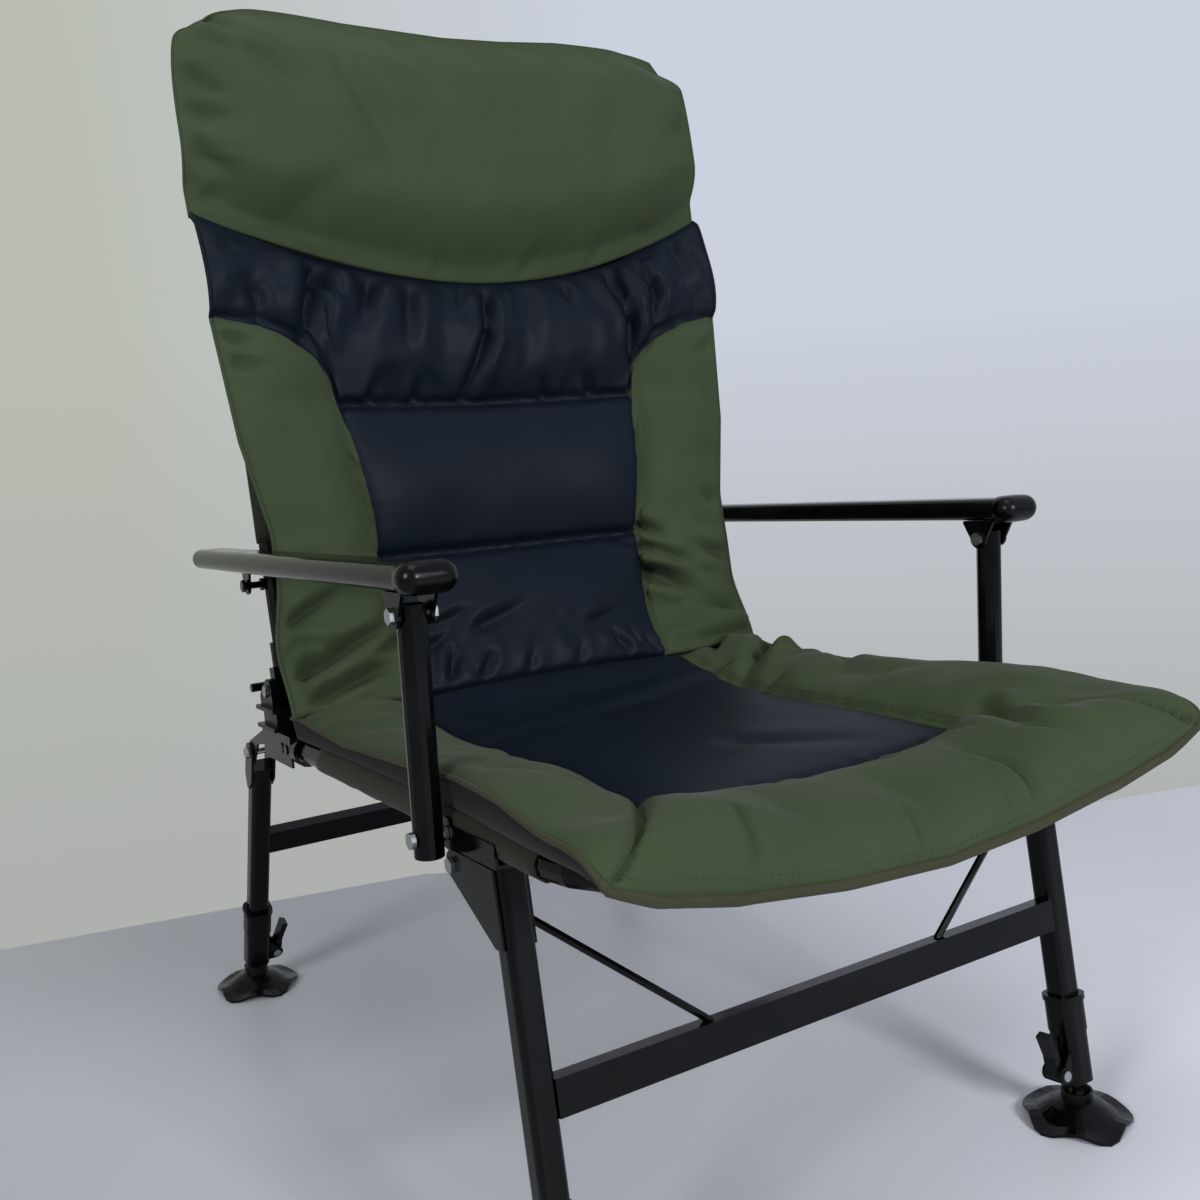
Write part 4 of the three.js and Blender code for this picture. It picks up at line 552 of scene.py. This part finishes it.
# Back cushion, along the leaning back: three navy channels between two green bolsters with round tops
backPad = {
    "low": -28, "channels": (117, 278), "bolsterTop": 362,
    "seamMiddle": 406, "seamSide": 484, "seamDroop": 16, "seamHalf": 300,
    "innerZ": (-26, 117, 200, 278), "innerX": (140, 156, 168, 176),
    "halfZ": (-26, 90, 150, 240, 362, 492), "half": (266, 269, 269, 287, 298, 300),
    "panelZ": (-26, 20, 117, 278, 340, 406), "panelY": (-97, -70, -42, -33, -40, -50),
    "innerY": -48, "sideY": -72, "leftFlare": 14, "flareFrom": 110, "flareOver": 90,
    "kneeOut": 26, "kneeFrom": 60, "kneeOver": 90, "topIn": 10, "topInFrom": 380, "topInOver": 80,
    "puff": 20, "bolsterPuff": 16, "crown": 8, "bandPuff": 16,
    "rearTuck": 22, "tubeFace": -13.1, "slingSag": 26, "slingHalf": 230, "slingFrom": 150, "slingOver": 60,
    "footOut": 26, "footFrom": 50, "footOver": 70, "offTube": 0.3, "leastThick": 8, "leastWall": 6,
    "pressure": 3.0, "grow": 0.035, "cap": 9, "tautBand": 0.06, "tautBolster": 0.1, "tautPanel": 0.8,
    "border": 18, "panel": 44, "rows": (22, 24, 20), "sideCord": 1.8, "seamWidth": 4.0, "seamDepth": 4.4,
    "bandFoldStrength": 2.3, "panelFoldStrength": 2.0, "bolsterFoldStrength": 3.2,
    "bandPucker": 0.6, "pucker": 0.8, "puckerReach": 10, "bolsterRumple": 1.4, "rumpleFrom": 130,
    "rumpleOver": 120, "panelRumple": 1.5, "panelRumpleFrom": 70, "panelRumpleOver": 90,
    "spans": {"band": 110, "bolsterUp": 200, "panelUp": 161, "panelDown": 143, "bolsterSide": 115,
              "panelSide": 160},
    "bandFolds": (
        (-184, 412, -208, 335, 13, 9), (-178, 405, -160, 380, 8, 4), (-123, 412, -146, 358, 11, 5.5),
        (-82, 396, -96, 342, 10, 3.5), (-21, 397, -30, 378, 6, 3), (8, 396, -1, 342, 8, 6.5),
        (-1, 345, -29, 282, 8, 5.5), (23, 401, 23, 380, 6, 3.5), (106, 407, 111, 380, 7, 3.5),
        (165, 432, 186, 354, 9, 6), (186, 356, 182, 318, 8, 4), (207, 420, 220, 394, 7, 4.5),
        (220, 396, 212, 349, 8, 4.5), (-253, 384, -250, 352, 10, 4), (-87, 280, -85, 300, 6, 3),
        (70, 280, 66, 300, 6, 2.4), (130, 281, 120, 306, 6, 2.4), (-140, 282, -130, 306, 6, 2.4),
        (60, 395, 52, 352, 12, 2.4), (255, 452, 262, 410, 10, 3),
    ),
    "panelFolds": (
        (-125, 21, -97, 37, 6, 3.5), (-118, 40, -76, 54, 7, 3.5), (-71, 34, -4, 54, 10, 3.5),
        (-116, -12, -106, 12, 6, 5), (-83, -17, -67, 6, 6, 4), (92, -12, 78, 10, 6, 4),
        (117, -14, 103, 8, 6, 4.5), (132, -18, 119, 4, 6, 4.5), (-30, -20, -22, 2, 6, 3),
        (30, -20, 36, 0, 6, 2.6), (60, 20, 100, 32, 9, 2.4), (146, 104, 120, 112, 6, 1.6),
    ),
    "bolsterFolds": (
        (-284, 316, -255, 310, 6, 3), (-294, 343, -267, 335, 6, 3.4), (-262, 62, -216, 84, 9, 5),
        (-264, 40, -232, 34, 7, 4), (-263, 14, -170, 45, 9, 7), (-254, -14, -168, 10, 8, 6),
        (-262, -20, -182, -24, 7, 4), (-150, 92, -186, 104, 7, 3), (155, 124, 185, 101, 8, 5),
        (155, 100, 201, 73, 8, 6), (154, 75, 210, 46, 9, 6.5), (262, 12, 196, 30, 8, 5),
        (151, 68, 235, 26, 8, 4), (166, -20, 262, -14, 8, 4), (262, 76, 222, 92, 9, 4),
        (264, 140, 236, 150, 9, 2.2), (-264, 110, -230, 122, 9, 2.4), (290, 330, 262, 318, 8, 2),
        (-150, 30, -196, 18, 7, 4),
    ),
}


def headSeamZ(x):  # it droops a little at its left end
    d = backPad
    rise = (d["seamSide"] - d["seamMiddle"]) * (np.abs(x) / d["seamHalf"]) ** 2
    return d["seamMiddle"] + rise - d["seamDroop"] * np.clip(-x / d["seamHalf"], 0, 1) ** 3


def backShares(detail):
    d = backPad
    nb, npan = d["border"], d["panel"]
    j, i = gridSteps(sum(d["rows"]), 2 * nb + npan, detail)
    i, j = i + 0 * j, j + 0 * i
    out = np.clip(np.maximum(nb - i, i - nb - npan), 0, nb) / nb
    starts = np.concatenate([[0], np.cumsum(d["rows"])])
    share = [np.clip((j - start) / count, 0, 1) for start, count in zip(starts, d["rows"])]
    inBand = j > starts[2] + 1e-6
    return out, np.sign(i - nb - npan / 2), np.clip((i - nb) / npan, 0, 1) * 2 - 1, share, inBand


def makeBackPad():
    d = backPad
    out, side, across, share, inBand = backShares(1)
    low, first, second = d["low"], *d["channels"]
    roundTop = second + (d["bolsterTop"] - second) * np.sqrt(np.clip(1 - (1 - out) ** 2, 0, 1))
    z = low + share[0] * (first - low) + share[1] * (roundTop - first)
    for step in range(2):  # the width follows the height, and the head seam's height follows the width
        half = np.interp(z, d["halfZ"], d["half"])
        inner = np.interp(np.minimum(z, second), d["innerZ"], d["innerX"])
        half = half + d["leftFlare"] * (side < 0) * blend01((d["flareFrom"] - z) / d["flareOver"])
        x = across * inner + side * (half - inner) * out
        if step == 0:
            z = z + share[2] * (headSeamZ(x) - roundTop)
    knee = blend01((d["kneeFrom"] - z) / d["kneeOver"])
    centre = np.interp(z, d["panelZ"], d["panelY"])
    inY = centre + (d["innerY"] - centre) * across ** 2 * (1 - knee)
    outY = d["sideY"] - d["kneeOut"] * knee + d["topIn"] * blend01((z - d["topInFrom"]) / d["topInOver"])
    here = np.where(inBand, share[2], np.where(share[1] > 0, share[1], share[0]))
    upBolster = np.clip((z - low) / (d["bolsterTop"] - low), 0, 1)
    bolster = d["bolsterPuff"] * pillow(out) * pillow(upBolster, 0.25) + d["crown"] * out * (1 - out)
    channel = np.where(out > 0, bolster, d["puff"] * pillow(here))
    swell = np.where(inBand, d["bandPuff"] * pillow(here), channel)
    y = inY + (outY - inY) * out - swell
    tucked = x * (1 - d["rearTuck"] / half)
    sheet = d["slingSag"] * (1 - np.minimum(np.abs(tucked) / d["slingHalf"], 1) ** 2) + d["tubeFace"]
    rearY = sheet + (d["tubeFace"] - sheet) * blend01((d["slingFrom"] - z) / d["slingOver"])
    rearY = rearY - d["footOut"] * blend01((d["footFrom"] - z) / d["footOver"]) - d["offTube"]
    front = np.stack([x, y, z], -1)
    rear = np.stack([tucked, np.maximum(rearY, y + d["leastThick"]), z], -1)
    panelSide = (out == 0) & (np.abs(across) == 1) & ~inBand
    channelSeam = (share[0] == 1) & (share[1] == 0) & (out == 0)
    bandSeam = (share[1] == 1) & (share[2] == 0)
    rim = (out == 1) | (share[0] == 0) | (share[2] == 1)
    free = 1.0 - (panelSide | channelSeam | bandSeam | rim)
    taut = np.where(inBand, d["tautBand"], np.where(out > 0, d["tautBolster"], d["tautPanel"]))
    front = finer(stuffed(front, rear, free, d["pressure"], d["grow"], d["cap"], taut))
    rear = finer(rear)
    out, side, across, share, inBand = backShares(2)
    atX, atZ = front[..., 0], front[..., 2]
    onBolster = (out > 0) & ~inBand
    onPanel = (out == 0) & ~inBand
    span, away = d["spans"], 99  # rough distances to the nearest seam, in mm
    bandEdge = np.minimum(share[2] * span["band"], (1 - share[2]) * span["band"])
    upward = np.where(onBolster, span["bolsterUp"], span["panelUp"])
    toBandSeam = np.where(inBand, bandEdge, (1 - share[1]) * upward)
    aside = np.where(onBolster, out * span["bolsterSide"], (1 - np.abs(across)) * span["panelSide"])
    toSide = np.where(inBand, away, aside)
    above = np.where(share[1] > 0, share[1] * span["panelUp"], away)
    below = np.where(share[1] > 0, away, (1 - share[0]) * span["panelDown"])
    toChannel = np.where(onPanel, np.minimum(above, below), away)
    toSeam = np.minimum(np.minimum(toBandSeam, toSide), toChannel)
    rise = -d["seamDepth"] * np.exp(-toSeam / d["seamWidth"])
    for key, where in (("band", inBand), ("panel", onPanel), ("bolster", onBolster)):
        folds = foldField(atX, atZ, d[key + "Folds"], d[key + "FoldStrength"])
        rise += folds * blend01(toSeam / 5 + 0.25) * where
    rise += noiseField(atX.shape, (6, 40), 8) * d["bandPucker"] * inBand * pillow(share[2] * 0.8 + 0.2, 0.7)
    lowDown = blend01((d["rumpleFrom"] - atZ) / d["rumpleOver"])
    rise += noiseField(atX.shape, (40, 12), 11) * d["bolsterRumple"] * onBolster * lowDown
    rise += noiseField(atX.shape, (56, 60), 3) * d["pucker"] * np.exp(-toSeam / d["puckerReach"])
    lowDown = blend01((d["panelRumpleFrom"] - atZ) / d["panelRumpleOver"])
    rise += noiseField(atX.shape, (12, 40), 5) * d["panelRumple"] * onPanel * lowDown
    still = blend01((1 - out) * 8) * blend01(share[0] * 6) * blend01((1 - share[2]) * 6)
    lift = outward(front, rear)
    front = front + lift * (rise * still)[..., None]
    rear[..., 1] = np.maximum(rear[..., 1], front[..., 1] + d["leastWall"])
    low, mid = 2 * d["rows"][0], 2 * (d["rows"][0] + d["rows"][1])
    left, right = 2 * d["border"], 2 * (d["border"] + d["panel"])
    cords = []
    for column, shift in ((0, -0.4), (-1, 0.4)):  # green beside the bolsters, navy beside the band
        for part, cloth in ((slice(mid + 1), 0), (slice(mid, None), 1)):
            line = front[part, column] + [shift, 0.6, 0]
            cords.append(cordAlong(line, d["sideCord"], (0.001, -1.0, 0.0), cloth))
    rows = [stitchRow(front[:mid, c], lift[:mid, c], 3) for c in (left - 2, right + 2)]
    for row in (low, mid):
        rows.append(stitchRow(front[row, left:right + 1], lift[row, left:right + 1], 4, 5.0, 3.4, 0.8))
    isNavy = (out[:-1, :-1] + out[1:, 1:] == 0) | inBand[1:, 1:]
    cloths = [oxford, satin, underCloth, thread, navyThread]
    return padMesh("backCushionCover", front, rear, onBack, cloths, isNavy, cords + rows)


# Head pillow: a plump hood over the top of the back, gathered at its left end
headPad = {
    "half": 301, "narrowing": 14, "bulge": 3,
    "topU": (-1, -0.8, -0.4, 0, 0.25, 0.5, 0.8, 1), "top": (690, 687, 679, 677, 681, 688, 691, 691),
    "leftCorner": (27, 24), "rightCorner": (12, 12), "overBand": 0.8, "cornerLap": 5,
    "thick": 74, "thickFrom": -22, "seamY": (-50, -58), "rearTuck": 22, "rearY": -13.4, "leastThick": 6,
    "pressure": 3.5, "grow": 0.02, "cap": 9, "taut": 0.5,
    "taperFrom": 0.75, "taperTop": 0.5, "taperEnds": 0.25, "plumpBy": 0.33, "faceBy": 0.26,
    "panel": 64, "rows": 34, "cord": 1.2, "edgeFade": 22, "uneven": 1.1, "gathers": 2.2, "gatherReach": 30,
    "pucker": 1.0, "puckerReach": 14, "spans": {"side": 300, "up": 240}, "foldStrength": 1.7,
    "folds": (
        (-137, 617, -114, 560, 14, 3.2), (-114, 575, -91, 501, 16, 3.4), (-228, 620, -181, 574, 12, 4.2),
        (-300, 597, -262, 575, 9, 5), (-300, 560, -255, 548, 9, 4), (-296, 524, -262, 500, 9, 4.4),
        (-278, 645, -240, 610, 10, 5), (-298, 480, -270, 486, 8, 3), (30, 640, 36, 560, 24, 1.8),
        (125, 640, 87, 547, 26, 2), (200, 640, 156, 494, 28, 2.2), (234, 460, 206, 470, 8, 2.2),
        (300, 600, 262, 570, 12, 2.6), (304, 540, 272, 520, 11, 2.4), (-60, 650, -46, 590, 18, 1.8),
        (-200, 470, -150, 500, 18, 2), (-255, 668, -236, 630, 9, 4), (60, 414, 74, 440, 8, 1.8),
        (-40, 410, -46, 440, 8, 1.8), (150, 428, 160, 452, 8, 1.8),
    ),
}


def headShares(detail):  # across from -1 to 1, and up from 0 to 1
    v, u = gridSteps(headPad["rows"], headPad["panel"], detail)
    return u / headPad["panel"] * 2 - 1 + 0 * v, v / headPad["rows"] + 0 * u


def makeHeadPad():
    d = headPad
    u, v = headShares(1)
    taper, endTaper = (blend01((share - d["taperFrom"]) / (1 - d["taperFrom"])) for share in (v, np.abs(u)))
    x = u * (d["half"] - d["narrowing"] * taper + d["bulge"] * np.sin(pi * v))
    corner = np.abs(u) ** 6 * v ** 6
    pull, drop = (np.where(u < 0, *ends) for ends in zip(d["leftCorner"], d["rightCorner"]))
    top = np.interp(u, d["topU"], d["top"])
    seam = headSeamZ(x) + d["overBand"] - d["cornerLap"] * np.abs(u) ** 10
    z = seam + (top - seam) * v
    x, z = x - np.sign(u) * pull * corner, z - drop * corner
    plump = 1 - (1 - np.clip(v / d["plumpBy"], 0, 1)) ** 2
    plump = plump * (1 - d["taperTop"] * taper) * (1 - d["taperEnds"] * endTaper)
    seamY = d["seamY"][0] + (d["seamY"][1] - d["seamY"][0]) * np.abs(u)
    full = np.minimum(d["thickFrom"] - d["thick"] * plump, seamY)
    y = seamY + (full - seamY) * (1 - (1 - np.clip(v / d["faceBy"], 0, 1)) ** 2) ** 0.6
    front = np.stack([x, y, z], -1)
    rearY = np.maximum(np.full_like(y, d["rearY"]), y + d["leastThick"])
    rear = np.stack([x * (1 - d["rearTuck"] / d["half"]), rearY, z], -1)
    free = 1.0 - ((np.abs(u) == 1) | (v == 0) | (v == 1))
    front = finer(stuffed(front, rear, free, d["pressure"], d["grow"], d["cap"], d["taut"] + 0 * u))
    rear = finer(rear)
    u, v = headShares(2)
    span = d["spans"]
    toEdge = np.minimum((1 - np.abs(u)) * span["side"], (1 - v) * span["up"])
    rise = foldField(front[..., 0], front[..., 2], d["folds"], d["foldStrength"])
    rise += noiseField(u.shape, (9, 14), 21) * d["uneven"]
    atLeft = np.exp(-(1 + u) * span["side"] / d["gatherReach"])
    rise += noiseField(u.shape, (34, 8), 6) * d["gathers"] * atLeft
    rise += noiseField(u.shape, (8, 60), 7) * d["pucker"] * np.exp(-v * span["up"] / d["puckerReach"])
    lift = outward(front, rear)
    front = front + lift * (rise * blend01(toEdge / d["edgeFade"]) * blend01(v * 16))[..., None]
    edge = np.concatenate([front[:, 0], front[-1, 1:], front[-2::-1, -1]])
    cord = cordAlong(edge + [0, 0.6, 0], d["cord"], (0.001, -1.0, 0.0), 0)
    allGreen = np.zeros((u.shape[0] - 1, u.shape[1] - 1))
    return padMesh("headPillowCover", front, rear, onBack, [oxford, oxford, underCloth], allGreen, [cord], 3)


seatCover = makeSeatPad()
backCover = makeBackPad()
headCover = makeHeadPad()
cushionJobs = (
    (seatCover, "seat_cushion", "seat", onSeat, (0, 0, 1), (0, -300, -45)),
    (backCover, "back_cushion", "back", onBack, (0, 1, 0), (0, -13, 200)),
    (headCover, "head_pillow", "back", onBack, (0, 1, 0), (0, -14, 500)),
)
for pad, node, body, place, across, anchor in cushionJobs:
    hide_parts(node)
    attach(pad, body)
    flatten = place(np.array(across) * 1000.0) - place((0, 0, 0))
    tuple(place(anchor))
    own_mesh(pad)
print("cushions stuffed")


# Slings: cloth laced over the tubes, with a round sleeve down each side
sling = {"tube": 11, "gap": 0.4, "cloth": 1.5, "turns": 14, "span": 34, "rows": 40, "offTube": 12,
         "flatEdge": 22, "sewnShort": 0.35, "ripple": 0.35}
seatSling = {"tubeX": 262, "sag": 36, "drop": 53, "from": -130, "to": -552}
backSling = {"tubeX": 252, "sag": 26, "drop": 0, "from": 150, "to": 560}


def sheetMesh(name, points, thickness, cloth, cut):
    rows, cols = points.shape[:2]
    faces = [(j * cols + i, j * cols + i + 1, (j + 1) * cols + i + 1, (j + 1) * cols + i)
             for j in range(rows - 1) for i in range(cols - 1)]
    piece, mesh = newPiece(name, points.reshape(-1, 3), faces, [cloth])
    layCloth(mesh, cut.reshape(-1, 2))
    solid = piece.modifiers.new("cloth thickness", "SOLIDIFY")
    solid.thickness = thickness
    solid.offset = 0
    return piece


def slingSection(d):  # from round one tube, across, and round the other
    r = sling["tube"] + sling["gap"] + sling["cloth"] / 2
    angles = np.linspace(3.5 * pi - sling["sewnShort"], 0.5 * pi, sling["turns"])
    tube = [(d["tubeX"] + r * cos(a), r * sin(a)) for a in angles]
    span = np.linspace(d["tubeX"] - sling["offTube"], sling["offTube"] - d["tubeX"], sling["span"])
    middle = [(x, r - d["sag"] * (1 - min(abs(x) / (d["tubeX"] - sling["flatEdge"]), 1) ** 2)) for x in span]
    return np.array(tube + middle + [(-x, z) for x, z in tube[::-1]])


def makeSling(name, node, body, d, place, seed):
    section = slingSection(d)
    along = np.linspace(d["from"], d["to"], sling["rows"])
    ripple = noiseField((len(along), len(section)), (30, 9), seed) * sling["ripple"]
    rise = section[None, :, 1] + ripple - d["drop"]
    across, length = section[None, :, 0] + 0 * ripple, along[:, None] + 0 * ripple
    points = np.stack([across, length, rise] if body == "seat" else [across, -rise, length], -1)
    cutWidth = np.concatenate([[0], np.cumsum(np.linalg.norm(np.diff(section, axis=0), axis=1))])
    flat = np.stack(np.meshgrid(cutWidth, along), -1) / 1000
    piece = sheetMesh(name, place(points), sling["cloth"] / 1000, sleeveCloth, flat)
    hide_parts(node)
    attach(piece, body)


# Crease cloth: the loose fold that joins the seat cushion to the back cushion over the hinge
creaseCloth = {"half": 252, "seatY": -80, "seatZ": -24, "backY": -58, "backZ": -22, "sag": 46, "cloth": 1.6,
               "panel": 52, "turns": 18, "ripple": 1.6}


def makeCrease():
    d = creaseCloth
    first, last = onSeat((0, d["seatY"], d["seatZ"])) * 1000, onBack((0, d["backY"], d["backZ"])) * 1000
    t = np.linspace(0, 1, d["turns"])[:, None, None]
    hang = first[1:] + (last - first)[1:] * t - np.array([0, 1.0]) * (d["sag"] * np.sin(pi * t) ** 0.7)
    points = np.empty((d["turns"], d["panel"], 3))
    points[..., 0] = np.linspace(-d["half"], d["half"], d["panel"])
    points[..., 1:] = hang
    points[..., 1] += noiseField(points.shape[:2], (2, 30), 12) * d["ripple"] * np.sin(pi * t[..., 0])
    piece = sheetMesh("creaseCloth", points / 1000, d["cloth"] / 1000, underCloth, clothLength(points))
    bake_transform(piece)


makeSling("seatSlingCloth", "seat_sling", "seat", seatSling, onSeat, 3)
makeSling("backSlingCloth", "back_sling", "back", backSling, onBack, 6)
makeCrease()
print("slings laced")

# Arm caps: moulded plugs with a full round nose, on the front end of the oval arm tube
armCap = {"pivot": (290, -224.6, 513.0), "tilt": 1.9, "half": 22.2, "radius": 12.2, "rise": 27,
          "front": -43.5, "nose": 12, "tip": 0.12, "rear": -23.3, "lip": 0.8, "flatness": 6,
          "around": 40, "steps": 9}


def makeArmCap(side, sign):
    d = armCap
    n, r = d["around"], d["radius"]
    turn = np.linspace(0, 2 * pi, n, endpoint=False)
    flatHalf = (d["half"] - r) * np.tanh(np.cos(turn) * d["flatness"])
    bends = np.linspace(d["tip"], pi / 2, d["steps"])
    rings = [(d["front"] + d["nose"] * (1 - cos(s)), r * sin(s)) for s in bends]
    rings += [(d["rear"] - d["lip"], r), (d["rear"], r - d["lip"])]
    points = np.array([[(f + w * cos(t), y, d["rise"] + w * sin(t)) for f, t in zip(flatHalf, turn)]
                       for y, w in rings])
    c, s = cos(radians(d["tilt"])), sin(radians(d["tilt"]))
    x, y, z = points[..., 0], points[..., 1], points[..., 2]
    aside, along, up = d["pivot"]
    points = np.stack([x + sign * aside, along + y * c + z * s, up - y * s + z * c], -1) / 1000
    faces = []
    for k in range(0, (len(rings) - 1) * n, n):
        for a in range(n):
            b = (a + 1) % n
            faces.append((k + a, k + n + a, k + n + b, k + b))
    faces += [tuple(range(n)), tuple(range(len(rings) * n - 1, (len(rings) - 1) * n - 1, -1))]
    piece, mesh = newPiece(side + "ArmCap", points.reshape(-1, 3), faces, [finishes["black_plastic"]])
    mesh.polygons[-1].use_smooth = False  # its flat rear end
    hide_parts(side + "_arm_cap")
    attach(piece, side + "_arm")


makeArmCap("left", 1)
makeArmCap("right", -1)

# Rigid pieces keep their shape and take their real finish, with slightly rounded edges
softEdge = {"widthMm": 0.4, "segments": 2, "sharperThanDeg": 38}
slotOf = {part["node"]: part["material_slot"] for part in frame["record"]["subparts"]}
for name, piece in nodes.items():
    if slotOf[name] in finishes:
        painted = name.endswith("arm_rear_bolt")  # these bolts are painted black like the arms
        piece.data.materials.clear()
        piece.data.materials.append(finishes["black_paint" if painted else slotOf[name]])
        soften = piece.modifiers.new("soft edges", "BEVEL")
        soften.width = softEdge["widthMm"] / 1000
        soften.segments = softEdge["segments"]
        soften.limit_method = "ANGLE"
        soften.angle_limit = radians(softEdge["sharperThanDeg"])
        soften.harden_normals = True
        for polygon in piece.data.polygons:
            polygon.use_smooth = True
print("rigid pieces finished")


# Floor, light and camera: a sheet of floor that ends behind the chair, with the pale room beyond it
floorSheet = {
    "rearEdge": ((-7.0, 1.937), (-0.511, 0.732), (0.05, 0.628), (0.52, 0.345), (1.068, 0.211), (1.242, 0.168),
                 (7.0, -1.267)),
    # left and right: painted shade at the floor's left end, painted light at its right end
    "frontY": -7.0, "left": "#b6b9be", "right": "#f3f6ff",
}


def makeFloor():  # pale paint, its tone uneven over about 0.8 m, with painted shade on its left and painted light on its right
    rear = floorSheet["rearEdge"]
    verts = [(x, y, 0) for x, y in rear] + [(x, floorSheet["frontY"], 0) for x, y in rear]
    count = len(rear)
    faces = [(count + k, count + k + 1, k + 1, k) for k in range(count - 1)]
    finish, tree, shader, at = newFinish("paleFloorPaint", Roughness=0.42, IOR=1.4)
    cloud = addNode(tree, "ShaderNodeTexNoise", {"Vector": at}, Scale=1.3, Detail=2.0).outputs[0]
    aside = addNode(tree, "ShaderNodeSeparateXYZ", {"Vector": at}).outputs["X"]
    uneven = ramp(tree, cloud, 0.3, 0.7, -0.15, 0.15)
    # painted light: the floor goes from grey on the left to near white on the right, as the room's light
    # falls
    paintedLightAcross = addNode(tree, "ShaderNodeMath", {0: aside, 1: uneven}, operation="ADD").outputs[0]
    ends = linear(floorSheet["left"]), linear(floorSheet["right"])
    tree.links.new(mixColours(tree, ramp(tree, paintedLightAcross, -0.7, 0.7), *ends), shader.inputs["Base Color"])
    piece, mesh = newPiece("paleFloor", verts, faces, [finish])
    piece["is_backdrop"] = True


makeFloor()
# The room seen by the camera and in reflections: painted shade on its left, painted light on its right, and
# darker low down; other rays get the plain light
room = {"left": "#b9bdb2", "right": "#cbd1de", "low": "#aeb1ae", "light": (0.22, 0.224, 0.24, 1),
        "turnDeg": 30.6}
world = bpy.data.worlds.new("paleRoom")
bpy.context.scene.world = world
world.use_nodes = True
tree = world.node_tree
rays = tree.nodes.new("ShaderNodeLightPath").outputs
seen = rays["Is Camera Ray"]
for kind in ("Is Glossy Ray", "Is Transmission Ray"):
    seen = addNode(tree, "ShaderNodeMath", {0: seen, 1: rays[kind]}, operation="MAXIMUM").outputs[0]
at = addNode(tree, "ShaderNodeTexCoord").outputs["Generated"]
turn = (0, 0, radians(room["turnDeg"]))
turned = addNode(tree, "ShaderNodeMapping", {"Vector": at}, Rotation=turn).outputs[0]
parts = addNode(tree, "ShaderNodeSeparateXYZ", {"Vector": turned}).outputs
sideways = mixColours(tree, ramp(tree, parts["X"], -0.35, 0.05), linear(room["left"]), linear(room["right"]))
wall = mixColours(tree, ramp(tree, parts["Z"], -0.3, 0.1), linear(room["low"]), sideways)
tree.links.new(mixColours(tree, seen, room["light"], wall), tree.nodes["Background"].inputs[0])


def softbox(name, place, aim, size, watts, colour):
    lamp = bpy.data.lights.new(name, "AREA")
    lamp.size, lamp.energy, lamp.color = size, watts, colour
    holder = linked(name, lamp)
    holder.location = place
    holder.rotation_euler = (Vector(aim) - Vector(place)).to_track_quat("-Z", "Y").to_euler()


softbox("ceilingLight", (-0.4, -0.6, 3.0), (0, 0, 0.4), 1.3, 17, (1.0, 0.99, 0.97))
softbox("windowLight", (0.3, -3.2, 1.5), (0, 0, 0.5), 0.8, 68, (0.95, 0.97, 1.0))
softbox("fillLight", (-2.9, -1.3, 1.6), (0, 0, 0.5), 0.9, 44, (0.96, 0.97, 1.0))

shot = {"place": (-0.6132, -1.006, 0.6273), "yaw": 30.6, "pitch": -7.3, "roll": -3.3,
        "focalPx": 1221.7, "centrePx": (583.4, 593.9), "imagePx": 1200, "sensorMm": 36}


def makeCamera():
    yaw, pitch, roll = (radians(shot[k]) for k in ("yaw", "pitch", "roll"))
    ahead = Vector((sin(yaw) * cos(pitch), cos(yaw) * cos(pitch), sin(pitch)))
    right = Vector((cos(yaw), -sin(yaw), 0))
    up = right.cross(ahead)
    across = right * cos(roll) + up * sin(roll)
    above = up * cos(roll) - right * sin(roll)
    lens = bpy.data.cameras.new("photoCamera")
    lens.sensor_width = shot["sensorMm"]
    lens.lens = shot["sensorMm"] * shot["focalPx"] / shot["imagePx"]
    lens.shift_x = (shot["imagePx"] / 2 - shot["centrePx"][0]) / shot["imagePx"]
    lens.shift_y = (shot["centrePx"][1] - shot["imagePx"] / 2) / shot["imagePx"]
    lens.clip_start = 0.01
    camera = linked("photoCamera", lens)
    turn = Matrix((across, above, -ahead)).transposed().to_4x4()
    camera.matrix_world = Matrix.Translation(shot["place"]) @ turn
    bpy.context.scene.camera = camera


makeCamera()
bpy.context.scene.view_settings.view_transform = "Standard"
print("stage set")

plain = lambda box: [[float(n) for n in corner] for corner in box]
{"cad": plain(cadBox), "visual": plain(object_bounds())}
